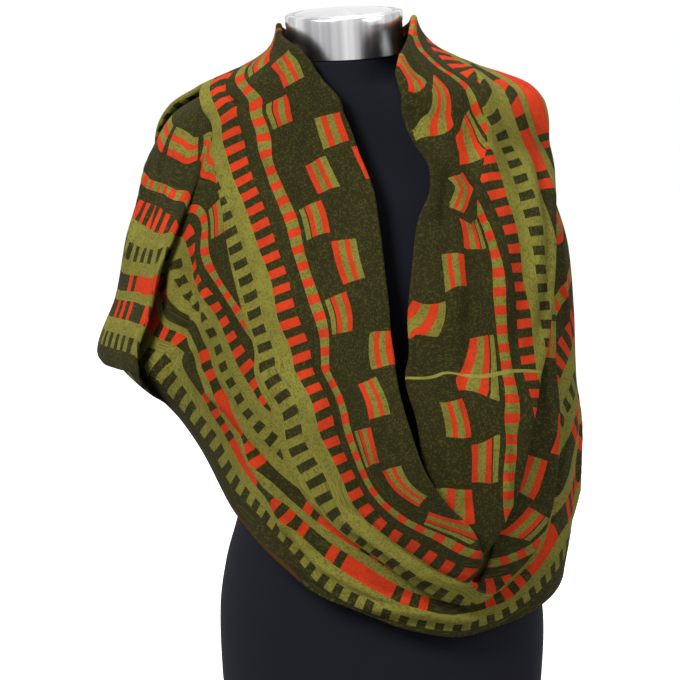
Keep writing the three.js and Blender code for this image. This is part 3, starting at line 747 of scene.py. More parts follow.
def set_right(ways, metrics, inner, marks):
    """Measures of the cloth, corrected to have the values wanted at the marked spots."""
    sides = [inner[spot] for spot, _ in marks]
    centres = np.array([metrics[side][spot] for side, (spot, _) in zip(sides, marks)])
    missing = [value - ways[side][spot] for side, (spot, value) in zip(sides, marks)]
    rule = carried(centres, missing)
    return [way + rule(metric) for way, metric in zip(ways, metrics)]


def spread(places, across):
    """Each spot's place along and across the cloth, to measure the reach of corrections by."""
    return np.stack([np.repeat(places[:, None] * STATION_RUN, across.shape[1], 1), across], -1)


def marked(points, places, seen_bands, seen_squares):
    """The spots that are seen, with what they measure from the cut edge and along the rows."""
    marks, row_marks = [], []
    for stations, bands in seen_bands:
        for name, band_places in bands.items():
            for place in band_places:
                marks.append((spot_seen(points, places, stations, place), BANDS[name][0]))
    for stations, squares in seen_squares:
        for *place, row, column in squares:
            spot = spot_seen(points, places, stations, place)
            marks.append((spot, SQUARE_FIRST + SQUARE_STEP * column))
            middle = row * SQUARE_ROW + SQUARE_LONG / 2
            row_marks.append((spot, middle + SEAM_SHIFT * (middle + SEAM_SHIFT > SEAM_ALONG)))
    return marks, row_marks


def weave(foot, points, places, base, seen_bands, seen_squares, edge=None, rows_from=0):
    """Along the bands, from the cut edge and along the squares: the cloth's weave.

    With a fold edge it is given twice, for the cloth outside the edge and for the cloth inside
    it, and with it how far in from the edge each spot is.
    """
    ways, apart = [base], np.full_like(base, -1)
    if edge is not None:
        hidden, apart = tucked(foot, places, edge)
        ways.append(base + hidden)
    inner = (apart > 0).astype(int)
    marks, row_marks = marked(points, places, seen_bands, seen_squares)
    right = set_right(ways, [spread(places, way) for way in ways], inner, marks)
    ways = [np.maximum(new, way * HEM_LEAST) for way, new in zip(ways, right)]
    rows = [
        band_run(foot, across, SQUARE_FIRST + SQUARE_STEP) + rows_from for across in ways]
    if edge is not None:
        for place in SEAM_SEEN:
            row_marks.append((spot_seen(points, places, FLAP_STATIONS, place), SEAM_ALONG))
    rows = set_right(rows, [spread(places, across) for across in ways], inner, row_marks)
    ways = [(band_length(foot, across), across, row) for across, row in zip(ways, rows)]
    return ways, apart


def carried_round(grid, columns):
    """A grid's edge columns repeated for the rolled edges."""
    return np.concatenate([
        np.repeat(grid[:, :1], columns, 1), grid, np.repeat(grid[:, -1:], columns, 1)], 1)


def with_rolls(points, along, across, columns):
    """The weave carried on round the rolled edges, by their length."""
    low = points[:, :columns + 1]
    high = points[:, -columns - 1:]
    low_run = np.cumsum(np.linalg.norm(np.diff(low, axis=1), axis=2)[:, ::-1], 1)[:, ::-1]
    high_run = np.cumsum(np.linalg.norm(np.diff(high, axis=1), axis=2), 1)
    across = np.concatenate([across[:, :1] - low_run, across, across[:, -1:] + high_run], 1)
    return carried_round(along, columns), across


def cloth_faces(rows, columns, closed):
    """Quads of a doubled grid with a rim all round it, or along both sides of a closed ring.

    Gives the quads and, for each rim vertex, the grid spot that it borders and the next one in.
    """
    spots = np.arange(rows * columns).reshape(rows, columns)
    under = rows * columns
    top = np.stack([spots[:-1, :-1], spots[1:, :-1], spots[1:, 1:], spots[:-1, 1:]], -1)
    top = top.reshape(-1, 4)
    faces = [top, top[:, ::-1] + under]
    if closed:
        edges = [(spots[:, 0], spots[:, 1]), (spots[::-1, -1], spots[::-1, -2])]
    else:
        edges = [(
            np.concatenate([spots[:, 0], spots[-1, 1:-1], spots[::-1, -1], spots[0, -2:0:-1]]),
            np.concatenate([spots[:, 1], spots[-2, 1:-1], spots[::-1, -2], spots[1, -2:0:-1]]),
        )]
    rim_start = 2 * under
    for edge, _ in edges:
        here = np.arange(len(edge) - 1 if closed else len(edge))
        after = (here + 1) % len(edge)
        rim = rim_start + here
        next_rim = rim_start + after
        faces.append(np.stack([edge[here], rim, next_rim, edge[after]], -1))
        faces.append(np.stack([rim, under + edge[here], under + edge[after], next_rim], -1))
        rim_start += len(edge)
    borders = np.concatenate([edge for edge, _ in edges])
    next_in = np.concatenate([inner for _, inner in edges])
    return np.concatenate(faces), borders, next_in


def shell(name, points, ways, apart, closed):
    """A thin cloth from its middle surface, with rounded rims, carrying its weave."""
    rows, columns = points.shape[:2]
    way_along = np.gradient(points, axis=0)
    if closed:
        way_along[[0, -1]] = (points[1] - points[-2]) / 2
    outward = unit(np.cross(unit(way_along), unit(np.gradient(points, axis=1))))
    faces, borders, next_in = cloth_faces(rows, columns, closed)
    flat = points.reshape(-1, 3)
    rim = flat[borders] + unit(flat[borders] - flat[next_in]) * HALF_WALL
    positions = np.concatenate([
        (points + outward * HALF_WALL).reshape(-1, 3),
        (points - outward * HALF_WALL).reshape(-1, 3),
        rim,
    ])
    at_corners = {}
    grids = {"weave": ways[0], "weave_in": ways[-1], "fold_edge": (apart, apart, apart)}
    for attribute, parts in grids.items():
        values = np.stack(parts, -1).reshape(-1, 3)
        values = np.concatenate([values, values, values[borders]])
        at_corners[attribute] = values[faces.reshape(-1)]
    if closed:
        _, first, same = np.unique(
            np.round(positions, 2), axis=0, return_index=True, return_inverse=True)
        positions = positions[first]
        faces = same.reshape(-1)[faces]
    return mesh_object(name, positions, faces, at_corners)


def mesh_object(name, positions, faces, at_corners=None):
    """A smooth mesh object from points in millimetres and their faces."""
    mesh = bpy.data.meshes.new(name)
    mesh.from_pydata((positions * MM).tolist(), [], faces.tolist())
    for attribute_name, values in (at_corners or {}).items():
        attribute = mesh.attributes.new(attribute_name, "FLOAT_VECTOR", "CORNER")
        attribute.data.foreach_set("vector", values.astype(np.float32).ravel())
    mesh.polygons.foreach_set("use_smooth", np.ones(len(mesh.polygons), bool))
    mesh.update()
    made = bpy.data.objects.new(name, mesh)
    bpy.context.scene.collection.objects.link(made)
    return made


# The share of the lower turn's width by which its lift has passed from the hem's to the neck's.
LIFT_PASSED = 0.75


def lower_rise(across):
    return np.minimum(1, (across / LIFT_PASSED) ** 2)


def upper_rise(across):
    return np.sin(across * math.pi / 2)


lower_turn = Turn(LOWER_STATIONS, LOWER_FOLDS, lower_rise)
upper_turn = Turn([row[:4] for row in UPPER_STATIONS], UPPER_FOLDS, upper_rise)


def make_lower():
    points, foot, places = lower_grid(lower_turn, LOWER_CREASES)
    base = (cut_distance(foot, np.zeros(len(places))) + hem_distance(foot)) / 2
    ways, apart = weave(
        foot, points, places, base, [(LOWER_STATIONS_SEEN, LOWER_SEEN)],
        [(LOWER_STATIONS_SEEN, LOWER_SQUARES)], rows_from=LOWER_ROWS_FROM,
    )
    return shell("scarf_lower", points, ways, apart, closed=True)


def make_upper():
    points, foot, places, edge = upper_grid(upper_turn, UPPER_CREASES)
    cuts = [row[4] for row in UPPER_STATIONS]
    cut_start = np.interp(places, range(len(cuts)), cuts)
    rolls = ROLL_STEPS + STRIP_STEPS
    ways, apart = weave(
        foot, points[:, rolls:-rolls], places, cut_distance(foot, cut_start),
        [(FLAP_STATIONS, FLAP_SEEN), (PANEL_STATIONS, PANEL_SEEN)],
        [(FLAP_STATIONS, FLAP_SQUARES), (PANEL_STATIONS, PANEL_SQUARES)], edge,
    )
    rolled = []
    for along, across, rows_along in ways:
        along, across = with_rolls(points, along, across, rolls)
        rolled.append((along, across, carried_round(rows_along, rolls)))
    return shell("scarf_upper", points, rolled, carried_round(apart, rolls), closed=False)


scarf_lower = make_lower()
scarf_upper = make_upper()
LOWER_NODES = [
    "scarf_lower_back_left", "scarf_lower_left", "scarf_lower_front", "scarf_lower_right",
    "scarf_lower_back",
]
UPPER_NODES = [
    "scarf_right_flap", "scarf_upper_back", "scarf_upper_left", "scarf_upper_cowl",
    "scarf_upper_right",
]
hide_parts(*LOWER_NODES)
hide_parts(*UPPER_NODES)


# The torso's sections, by columns: how high, half width, reach to the front and to the back,
# all from a middle that moves forward and aside, and how far the leaning neck tilts them.
TORSO = np.array([
    (12.3, 167, 111, 112, 0, 0, 0),
    (60, 172, 115, 116, 0, 0, 0),
    (130, 174, 117, 120, 0, 0, 0),
    (180, 166, 111, 114, 0, -1, 0),
    (225, 152, 101, 99, 1, -2, 0),
    (270, 141, 95, 88, 2, -4, 0),
    (320, 145, 104, 86, 3, -6, 0),
    (370, 153, 125, 90, 4, -8, 0),
    (415, 160, 138, 95, 5, -9, 0),
    (465, 164, 128, 99, 8, -11, 0),
    (520, 169, 104, 100, 13, -13, 0),
    (570, 181, 80, 98, 19, -15, 0),
    (602, 177.9, 70, 93, 24, -16, 0),
    (626, 157, 64, 86, 30, -16, 0),
    (644, 116, 60, 76, 36, -17, 0),
    (660, 82, 58, 66, 40, -17, 0.3),
    (675, 62, 57, 58, 43, -18, 0.8),
], float)
TORSO_LEVELS = 110
FORM_AROUND = 120
ROUND = np.linspace(0, 2 * math.pi, FORM_AROUND + 1)
JERSEY_INSET = 1.0
NECK_ASIDE, NECK_FORWARD, NECK_UP = -18, 45, 695
NECK_TILT = 7 * DEGREE
NECK_RADIUS = 57.5
NECK_RINGS = (-8, -4, -0.5)

# Radius and height of the neck cap's band and of its lid, up their outsides.
CAP_PROFILE = [
    (55.5, 0.4), (57.8, 0.2), (58.3, 0.8), (58.3, 31.6), (58.9, 32.6), (59.0, 39.6), (58.7, 40.8),
    (57.9, 41.7), (56.6, 42.0), (51.2, 42.0), (50.6, 41.4), (50.6, 38.4), (46.5, 38.2),
]

# The lid's radius, where its side starts and ends, where its dome starts and how far it rises.
LID_RADIUS, LID_SEAT, LID_SIDE_TOP, LID_DOME_FOOT, LID_RISE = 49.9, 38.6, 40.8, 41.4, 4.2
LID_ANGLES = np.linspace(10, 88, 12) * DEGREE

# How far in and how high the rings of the base's rounded edge are.
BASE_PROFILE = [(3.0, 0.0), (1.2, 0.7), (0.4, 1.6), (0.0, 3.0), (0.0, 11.6), (0.5, 12.0)]


def neck_ring(radius, height):
    """A ring round the leaning axis of the neck."""
    forward = radius * np.cos(ROUND)
    return from_form(
        NECK_ASIDE + radius * np.sin(ROUND),
        NECK_FORWARD + forward * math.cos(NECK_TILT) + height * math.sin(NECK_TILT),
        NECK_UP - forward * math.sin(NECK_TILT) + height * math.cos(NECK_TILT),
    )


def torso_ring(level, inset, up=None):
    """A ring of the torso drawn in by an inset."""
    half, front, back, forward, aside, tilt = table_at(TORSO, np.array(float(level)))
    reach = np.where(np.cos(ROUND) > 0, front, back) - inset
    ahead = reach * np.cos(ROUND)
    height = (level if up is None else up) - ahead * math.tan(tilt * NECK_TILT)
    return from_form(aside + (half - inset) * np.sin(ROUND), forward + ahead, height)


def ringed(name, rings):
    """A mesh through a run of rings, closed at both ends, carrying how far round and how high."""
    rings = np.array(rings)
    rows, columns = rings.shape[:2]
    spots = np.arange(rows * columns).reshape(rows, columns)
    wrapped_to = spots.copy()
    wrapped_to[:, -1] = spots[:, 0]
    corners = np.stack([spots[:-1, :-1], spots[:-1, 1:], spots[1:, 1:], spots[1:, :-1]], -1)
    corners = corners.reshape(-1, 4)
    around, up = np.meshgrid(run_along(rings[1]), run_along(rings[:, 0]))
    grid = np.stack([around, up, np.zeros((rows, columns))], -1).reshape(-1, 3)
    faces = wrapped_to.reshape(-1)[corners]
    made = mesh_object(name, rings.reshape(-1, 3), faces, {"weave": grid[corners.reshape(-1)]})
    work = bmesh.new()
    work.from_mesh(made.data)
    bmesh.ops.delete(work, geom=[v for v in work.verts if not v.link_faces], context="VERTS")
    ends = [edge for edge in work.edges if edge.is_boundary]
    bmesh.ops.holes_fill(work, edges=ends, sides=FORM_AROUND)
    bmesh.ops.triangulate(work, faces=[face for face in work.faces if len(face.verts) > 4])
    work.to_mesh(made.data)
    work.free()
    return made


def make_torso():
    levels = np.linspace(TORSO[0, 0], TORSO[-1, 0], TORSO_LEVELS)
    rings = [torso_ring(level, JERSEY_INSET) for level in levels]
    rings += [neck_ring(NECK_RADIUS - JERSEY_INSET, height) for height in NECK_RINGS]
    return ringed("torso_jersey", rings)


def make_base():
    foot = TORSO[0, 0]
    return ringed("base_disc", [torso_ring(foot, inset, up) for inset, up in BASE_PROFILE])


def make_cap():
    return ringed("cap_band", [neck_ring(*row) for row in CAP_PROFILE])


def make_lid():
    profile = [(LID_RADIUS, LID_SEAT), (LID_RADIUS, LID_SIDE_TOP)]
    for angle in LID_ANGLES:
        profile.append((LID_RADIUS * math.cos(angle), LID_DOME_FOOT + LID_RISE * math.sin(angle)))
    return ringed("lid_dome", [neck_ring(*row) for row in profile])


def linear(red, green, blue):
    """A colour as it is seen on a screen, from 0 to 255, as the linear values of a shader."""
    values = [value / 255 for value in (red, green, blue)]
    return (*[v / 12.92 if v <= 0.04045 else ((v + 0.055) / 1.055) ** 2.4 for v in values], 1)


# How far two whole numbers may differ in a shader and still count as the same.
SAME = 0.3


def sum_of(operation):
    """A way of a number to be joined with others by one operation of the maths node."""
    return lambda number, *others: number.sum_node(operation, *others)


class Number:
    """A number in a material's nodes, so that sums are written plainly."""

    def __init__(self, tree, socket):
        self.tree = tree
        self.socket = socket

    def sum_node(self, operation, *others):
        node = self.tree.nodes.new("ShaderNodeMath")
        node.operation = operation
        for place, value in zip(node.inputs, (self, *others)):
            if isinstance(value, Number):
                self.tree.links.new(value.socket, place)
            else:
                place.default_value = value
        return Number(self.tree, node.outputs[0])

    __add__ = sum_of("ADD")
    __sub__ = sum_of("SUBTRACT")
    __mul__ = sum_of("MULTIPLY")
    __truediv__ = sum_of("DIVIDE")
    above = sum_of("GREATER_THAN")
    below = sum_of("LESS_THAN")
    floor = sum_of("FLOOR")
    part = sum_of("FRACT")
    size = sum_of("ABSOLUTE")
    power = sum_of("POWER")
    smaller = sum_of("MINIMUM")
    larger = sum_of("MAXIMUM")

    def near(self, other):
        """1 where two whole numbers are the same."""
        return self.sum_node("COMPARE", other, SAME)

    def between(self, low, high):
        return self.above(low) * self.below(high)

    def wrapped(self, period):
        """The remainder after whole periods, never below nought."""
        return (self / period).part() * period


class Material:
    """A node material with one Principled shader, and short ways to add the usual nodes."""

    def __init__(self, name):
        self.made = bpy.data.materials.new(name)
        self.made.use_nodes = True
        self.tree = self.made.node_tree
        self.shader = self.tree.nodes["Principled BSDF"]

    def set(self, **values):
        for name, value in values.items():
            self.shader.inputs[name.replace("_", " ")].default_value = value

    def node(self, kind, **settings):
        made = self.tree.nodes.new(kind)
        for name, value in settings.items():
            setattr(made, name, value)
        return made

    def link(self, start, end):
        self.tree.links.new(start.socket if isinstance(start, Number) else start, end)

    def attribute(self, name):
        node = self.node("ShaderNodeAttribute", attribute_name=name)
        parts = self.node("ShaderNodeSeparateXYZ")
        self.link(node.outputs["Vector"], parts.inputs[0])
        return [Number(self.tree, socket) for socket in parts.outputs]

    def put(self, values, places):
        """Each value linked to its input, or set there where it is a plain one."""
        for value, place in zip(values, places):
            if isinstance(value, (Number, bpy.types.NodeSocket)):
                self.link(value, place)
            else:
                place.default_value = value

    def vector(self, x, y):
        node = self.node("ShaderNodeCombineXYZ")
        self.put((x, y), node.inputs)
        return node.outputs[0]

    def noise(self, vector, scale, detail):
        node = self.node("ShaderNodeTexNoise")
        self.put((vector, scale, detail), [node.inputs[n] for n in ("Vector", "Scale", "Detail")])
        return Number(self.tree, node.outputs["Fac"])

    def noise_on(self, x, y, detail):
        """Noise on two measures of a surface, each of them scaled beforehand."""
        return self.noise(self.vector(x, y), 1.0, detail)

    def speck(self, vector):
        """A number from 0 to 1 that is the same all over one whole-numbered cell."""
        node = self.node("ShaderNodeTexWhiteNoise", noise_dimensions="3D")
        self.link(vector, node.inputs["Vector"])
        return Number(self.tree, node.outputs["Value"])

    def mix(self, factor, first, second):
        """Two colours mixed: the node's inputs for colours are its seventh and eighth."""
        node = self.node("ShaderNodeMix", data_type="RGBA", clamp_factor=True)
        self.put((factor, first, second), (node.inputs[0], node.inputs[6], node.inputs[7]))
        return node.outputs[2]

    def bump(self, height, distance, strength):
        node = self.node("ShaderNodeBump")
        node.inputs["Strength"].default_value = strength
        node.inputs["Distance"].default_value = distance
        self.link(height, node.inputs["Height"])
        self.link(node.outputs[0], self.shader.inputs["Normal"])

    def steps(self, factor, stops):
        """One of a few numbers, by how far along the stops the factor lies, from 0 to 1."""
        node = self.node("ShaderNodeValToRGB")
        ramp = node.color_ramp
        ramp.interpolation = "CONSTANT"
        while len(ramp.elements) < len(stops):
            ramp.elements.new(1.0)
        for element, (place, value) in zip(ramp.elements, stops):
            element.position = place
        for element, (place, value) in zip(ramp.elements, stops):
            element.color = (value, value, value, 1)
        self.link(factor, node.inputs[0])
        return Number(self.tree, node.outputs[0])


# The knit's stitches, its colours and its bands from the cut edge inwards.
WALE = 1.5
COURSE = 1.3
TOOTH_PITCH = 17.5
DARK_OLIVE = linear(50, 47, 18)
LIGHT_OLIVE = linear(154, 148, 62)
ORANGE = linear(240, 70, 30)
# The colour of the painted shade in the stitch grooves and in the soft clouds.
DEEP_SHADE = linear(14, 13, 6)
SEAM_THREAD = linear(168, 166, 78)
SEAM_HALF = 1.7
HEM_THREAD = linear(84, 52, 26)
HEM_THREAD_WIDE = 1.4
BAND_EDGES = {
    "teeth": (16, 30),
    "wide_blocks": (43, 62),
    "narrow_blocks": (72.5, 91.5),
    "spots": (108.5, 124.5),
    "ladder": (141.5, 160.5),
    "dashes": (175.5, 187.5),
}
LIGHT_FROM, LIGHT_TO = 16, 141.5

# The knit's unevenness and painted shade: how far its lines sway and how long the sways are; how often
# single stitches and soft flecks show the other yarn; where soft clouds of uneven tone and painted
# shade begin and how deep they are; how dark the painted shade in the grooves between stitches is; how
# high soft waves and the seam stand, in stitches.
SWAY, SWAY_SCALE = 3.0, 0.02
FLECK_ALONG, FLECK_ACROSS, FLECK_FROM, FLECK_SHARPNESS = 0.55, 0.9, 0.52, 5
CLOUD_SCALE, CLOUD_FROM, CLOUD_TONE_AND_SHADE = 0.05, 0.45, 0.7
GROOVE_SHARPNESS, GROOVE_SHADE = 1.5, 0.7
COURSE_ROUNDNESS = 0.6
WAVE_ALONG, WAVE_ACROSS, WAVE_HEIGHT, SEAM_HEIGHT = 0.035, 0.05, 3.0, 3.0
KNIT_RELIEF, KNIT_STRENGTH = 0.0007, 0.8

# Blocks along the two bands of blocks: d is dark and o orange, each with its length.
WIDE_BLOCKS = "d29 o9 d9 o57 d9 o9 d9 o9 d57 o9 d9 o9 d9 o9 d9 o50 d27 o9 d9 o9 d9 o10"
NARROW_BLOCKS = "o50 d12 o10 d8 o10 d75 o11 d9 o10 d12 o50 d9 o10 d8 o10 d60 o10 d9"


def block_stops(chart):
    """The chart of a band of blocks as stops: 1 where it is orange, and its whole length."""
    words = chart.split()
    lengths = [float(word[1:]) for word in words]
    total = sum(lengths)
    starts = np.concatenate([[0], np.cumsum(lengths)[:-1]]) / total
    return [(start, float(word[0] == "o")) for start, word in zip(starts, words)], total


# The flap's squares by row from its tucked tip: which column holds one. Elsewhere they repeat
# every few rows: one in the middle column, then by turns beside it and in the outermost two.
FLAP_CHART = (1, 0, 1, 0, 2, 1, 0, 1, 0, 1, 2)
REPEAT_ROWS = 5
MIDDLE_COLUMN = 2
LAST_COLUMN = 4


def jacquard(material, along, across, rows_along):
    """Where the cloth is light olive and where orange: the knit's chart as two masks."""
    edge = across.smaller(across * -1 + CLOTH_WIDTH)
    rung = (along / TOOTH_PITCH).part()
    half = rung.above(0.5)

    def band(name):
        return edge.between(*BAND_EDGES[name])

    dark_on_light = band("teeth") * half + band("spots") * half
    dark_on_light = dark_on_light + band("wide_blocks") + band("narrow_blocks")
    light = edge.between(LIGHT_FROM, LIGHT_TO) * (dark_on_light * -1 + 1)
    light = light + band("dashes") * half
    orange = band("ladder") * half + band("dashes") * (half * -1 + 1)
    for name, chart in (("wide_blocks", WIDE_BLOCKS), ("narrow_blocks", NARROW_BLOCKS)):
        stops, total = block_stops(chart)
        orange = orange + band(name) * material.steps((along / total).part(), stops)
    column = ((across - SQUARE_FIRST) / SQUARE_STEP + 0.5).floor()
    column_part = (across - SQUARE_FIRST) / SQUARE_STEP + 0.5 - column
    rows_along = rows_along - rows_along.above(SEAM_ALONG) * SEAM_SHIFT
    row = (rows_along / SQUARE_ROW).floor()
    in_row = rows_along.wrapped(SQUARE_ROW).below(SQUARE_LONG)
    turn = row.wrapped(REPEAT_ROWS)
    apart = (column - MIDDLE_COLUMN).size()
    wanted = turn.above(0.5) * (turn.wrapped(2).below(0.5) + 1)
    repeat = apart.near(wanted) * column.between(-0.5, LAST_COLUMN + 0.5)
    flap_rows = len(FLAP_CHART)
    on_flap = rows_along.below(SQUARE_ROW * flap_rows)
    stops = [(place / flap_rows, held / LAST_COLUMN) for place, held in enumerate(FLAP_CHART)]
    charted = column.near(material.steps((row + 0.5) / flap_rows, stops) * LAST_COLUMN)
    squares = (on_flap * charted + (on_flap * -1 + 1) * repeat) * in_row
    stripe = (column_part * 2 + column.wrapped(2) * 0.5).part()
    inside = (column_part - 0.5).size().below(SQUARE_WIDE / SQUARE_STEP / 2)
    squares = squares * inside
    orange = orange + squares * stripe.above(0.5)
    light = light + squares * stripe.below(0.5)
    return light, orange


def knit_material():
    """Fine two-sided jacquard knit: the chart, then single stitches in its colour and relief, with
    painted shade in the grooves between stitches and in soft clouds.
    """
    material = Material("knit")
    within = material.attribute("fold_edge")[0].above(0)
    along, across, rows_along = [
        outer + (inner - outer) * within
        for outer, inner in zip(material.attribute("weave"), material.attribute("weave_in"))]
    drift = material.noise_on(rows_along * SWAY_SCALE, across * SWAY_SCALE, 2.0)
    sway = (drift - 0.5) * SWAY
    along = along + sway
    rows_along = rows_along + sway
    wale = (across / WALE).part()
    leaning = (wale - 0.5).size() * WALE
    stitch_along = rows_along + leaning
    wale_number = (across / WALE).floor()
    course_number = (stitch_along / COURSE).floor()
    light, orange = jacquard(
        material, along + leaning, (wale_number + 0.5) * WALE, (course_number + 0.5) * COURSE)
    leg = ((across / WALE * 2).part() - 0.5).size() * 2
    stitch = ((stitch_along / COURSE).part() - 0.5).size() * 2
    height = (leg.power(2.0) * -1 + 1) * (stitch.power(2.0) * -COURSE_ROUNDNESS + 1)
    speck = material.speck(material.vector(course_number, wale_number))
    cloudy = material.noise_on(rows_along * CLOUD_SCALE, across * CLOUD_SCALE, 3.0)
    fleck = material.noise_on(stitch_along * FLECK_ALONG, across * FLECK_ACROSS, 1.0)
    fleck = ((fleck - FLECK_FROM) * FLECK_SHARPNESS).larger(0).smaller(1)

    def yarn(own, other, speck_from, speck_share, fleck_share):
        """A yarn's colour, through which another one shows in single stitches and flecks."""
        share = speck.above(speck_from) * speck_share + fleck * fleck_share
        return material.mix(share, own, other)

    colour = yarn(DARK_OLIVE, LIGHT_OLIVE, 0.8, 0.14, 0.1)
    colour = material.mix(light, colour, yarn(LIGHT_OLIVE, DARK_OLIVE, 0.75, 0.3, 0.4))
    colour = material.mix(orange, colour, yarn(ORANGE, DARK_OLIVE, 0.8, 0.16, 0.16))
    seam = (rows_along - SEAM_ALONG).size().below(SEAM_HALF)
    colour = material.mix(seam, colour, SEAM_THREAD)
    edge = across.smaller(across * -1 + CLOTH_WIDTH)
    colour = material.mix(edge.below(HEM_THREAD_WIDE), colour, HEM_THREAD)
    # Painted shade: the grooves between stitches are darkened towards deep shade.
    painted_groove_shade = (height * -1 + 1).power(GROOVE_SHARPNESS) * GROOVE_SHADE
    colour = material.mix(painted_groove_shade, colour, DEEP_SHADE)
    # Soft clouds darken the knit towards deep shade: partly uneven tone of the yarn, partly painted
    # shade.
    colour = material.mix((cloudy - CLOUD_FROM) * CLOUD_TONE_AND_SHADE, colour, DEEP_SHADE)
    material.link(colour, material.shader.inputs["Base Color"])
    material.set(Roughness=0.95, Specular_IOR_Level=0.12)
    wave = material.noise_on(rows_along * WAVE_ALONG, across * WAVE_ACROSS, 1.0)
    relief = height + wave * WAVE_HEIGHT + seam * SEAM_HEIGHT
    material.bump(relief, KNIT_RELIEF, KNIT_STRENGTH)
    return material.made


# Dark jersey and board: the scales of their grain and the two shades that it lies between.
JERSEY_GRAIN, JERSEY_CLOUDS = 900.0, 14.0
JERSEY_SHADES = (linear(13, 14, 20), linear(19, 20, 28))
BOARD_GRAIN = 220.0
BOARD_SHADES = (linear(34, 34, 40), linear(44, 44, 50))

# Brushed metal: how quickly scratches and the streaks of painted reflection change round it and up it,
# where a painted reflection streak begins and how sharply, and how much and how much darker the
# scratches show.
SCRATCH_AROUND, SCRATCH_UP, SCRATCH_SHARE, SCRATCH_DARKER = 0.02, 3.0, 0.25, 60
PAINTED_REFLECTION_AROUND, PAINTED_REFLECTION_FROM, PAINTED_REFLECTION_SHARPNESS = 0.055, 0.35, 3.2


def jersey_material():
    """Fine dark jersey stretched over the form."""
    material = Material("jersey")
    place = material.node("ShaderNodeTexCoord").outputs["Object"]
    cloudy = material.noise(place, JERSEY_CLOUDS, 3.0)
    colour = material.mix(cloudy, *JERSEY_SHADES)
    material.link(colour, material.shader.inputs["Base Color"])
    material.set(Roughness=0.9, Specular_IOR_Level=0.15)
    material.bump(material.noise(place, JERSEY_GRAIN, 1.0), 0.0004, 0.5)
    return material.made


def board_material():
    """Plain painted board under the form."""
    material = Material("base_board")
    place = material.node("ShaderNodeTexCoord").outputs["Object"]
    grain = material.noise(place, BOARD_GRAIN, 3.0)
    material.link(material.mix(grain, *BOARD_SHADES), material.shader.inputs["Base Color"])
    material.set(Roughness=0.7)
    material.bump(grain, 0.0003, 0.3)
    return material.made


def metal_material(name, shade, painted_reflection_grey, roughness):
    """Brushed metal: fine scratches run round it, broad soft streaks of painted reflection stand
    upright on it.
    """
    material = Material(name)
    around, height, _ = material.attribute("weave")
    scratches = material.noise_on(around * SCRATCH_AROUND, height * SCRATCH_UP, 2.0)
    painted_reflections = material.noise_on(around * PAINTED_REFLECTION_AROUND, 0.0, 2.0)
    painted_reflections = ((painted_reflections - PAINTED_REFLECTION_FROM) * PAINTED_REFLECTION_SHARPNESS).larger(0).smaller(1)
    # Painted reflections: upright streaks of darker grey mixed into the metal's colour.
    colour = material.mix(painted_reflections, linear(painted_reflection_grey, painted_reflection_grey, painted_reflection_grey + 3), linear(shade, shade, shade))
    darker = shade - SCRATCH_DARKER
    colour = material.mix(scratches * SCRATCH_SHARE, colour, linear(darker, darker, darker + 2))
    material.link(colour, material.shader.inputs["Base Color"])
    material.set(Metallic=1.0, Roughness=roughness)
    material.bump(scratches, 0.0001, 0.2)
    return material.made


knit = knit_material()
for cloth in (scarf_lower, scarf_upper):
    cloth.data.materials.append(knit)
    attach(cloth, "root")

for piece, node, slot, material in (
    (make_torso(), "form_torso", "jersey", jersey_material()),
    (make_base(), "form_base", "base_board", board_material()),
    # The cap and the lid carry painted reflections: upright streaks of darker grey in their colour.
    (make_cap(), "form_neck_cap", "cap_metal", metal_material("cap_metal", 232, 150, 0.27)),
    (make_lid(), "form_cap_lid", "lid_metal", metal_material("lid_metal", 224, 206, 0.3)),
):
    piece.data.materials.append(material)
    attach(piece, "root")
    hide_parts(node)


def make_camera():
    """The camera at the picture's viewing angle and scale."""
    data = bpy.data.cameras.new("camera")
    data.sensor_width = SENSOR
    data.lens = SENSOR * CAMERA_DISTANCE / PICTURE_WIDTH
    camera = bpy.data.objects.new("camera", data)
    back = Vector((0, -math.cos(CAMERA_RISE), math.sin(CAMERA_RISE)))
    camera.location = PICTURE_MIDDLE + back * CAMERA_DISTANCE
    camera.rotation_euler = (-back).to_track_quat("-Z", "Y").to_euler()
    bpy.context.scene.collection.objects.link(camera)
    bpy.context.scene.camera = camera


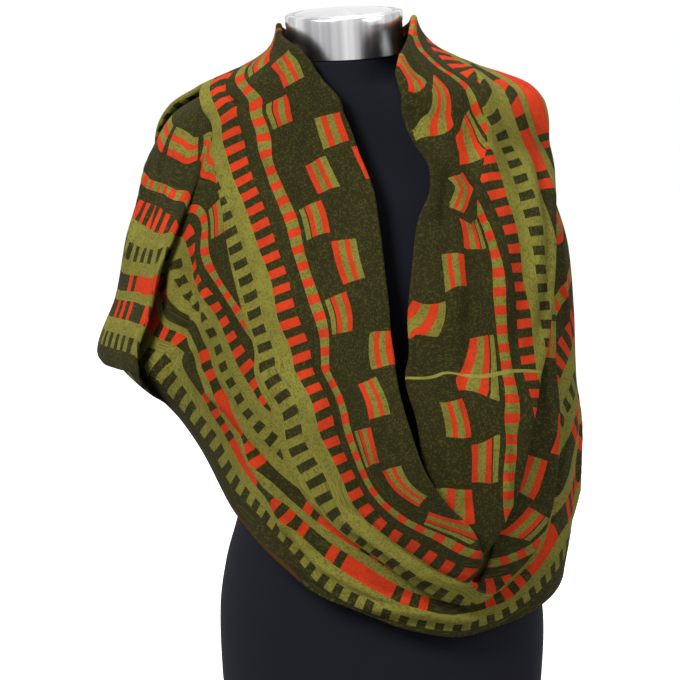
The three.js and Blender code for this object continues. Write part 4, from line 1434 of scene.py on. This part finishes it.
def area_light(name, place, size, power):
    """A soft square light that faces the middle of the scarf."""
    data = bpy.data.lights.new(name, "AREA")
    data.size = size
    data.energy = power
    light = bpy.data.objects.new(name, data)
    light.location = place
    aim = PICTURE_MIDDLE - Vector(place)
    light.rotation_euler = aim.to_track_quat("-Z", "Y").to_euler()
    bpy.context.scene.collection.objects.link(light)


# The room: how bright its white is where it is seen or mirrored and as light on the cloth, how
# far the floor reaches and how much it glows.
WORLD_SEEN = 1.0
WORLD_LIGHT = 0.3
FLOOR_REACH = 9.0
FLOOR_GLOW = 0.75

# The soft lights: where each stands, how wide it is and its power in watts.
LIGHTS = {
    "key": ((-1.9, -2.4, 2.3), 1.3, 140),
    "fill": ((2.6, -2.0, 1.2), 1.6, 44),
    "top": ((0.3, 0.5, 3.2), 1.4, 56),
}


def make_studio():
    """A white room: the floor, the soft lights and the white round it."""
    world = bpy.data.worlds.new("studio")
    world.use_nodes = True
    tree = world.node_tree
    ground = tree.nodes["Background"]
    seen_ray = tree.nodes.new("ShaderNodeLightPath")
    strength = tree.nodes.new("ShaderNodeMapRange")
    strength.inputs["To Min"].default_value = WORLD_LIGHT
    strength.inputs["To Max"].default_value = WORLD_SEEN
    bright = tree.nodes.new("ShaderNodeMath")
    bright.operation = "MAXIMUM"
    tree.links.new(seen_ray.outputs["Is Camera Ray"], bright.inputs[0])
    tree.links.new(seen_ray.outputs["Is Glossy Ray"], bright.inputs[1])
    tree.links.new(bright.outputs[0], strength.inputs["Value"])
    tree.links.new(strength.outputs[0], ground.inputs["Strength"])
    ground.inputs["Color"].default_value = (1, 1, 1, 1)
    bpy.context.scene.world = world
    for name, (place, size, power) in LIGHTS.items():
        area_light(name, place, size, power)
    corners = np.array([(-1, -1, 0), (1, -1, 0), (1, 1, 0), (-1, 1, 0)]) * FLOOR_REACH / MM
    floor = mesh_object("floor", corners, np.array([(0, 1, 2, 3)]))
    material = Material("floor")
    material.set(Base_Color=(0.9, 0.9, 0.9, 1), Roughness=0.9)
    material.set(Emission_Color=(1, 1, 1, 1), Emission_Strength=FLOOR_GLOW)
    floor.data.materials.append(material.made)
    floor.visible_diffuse = False
    floor.visible_glossy = False


make_camera()
make_studio()
bpy.context.scene.view_settings.view_transform = "Standard"
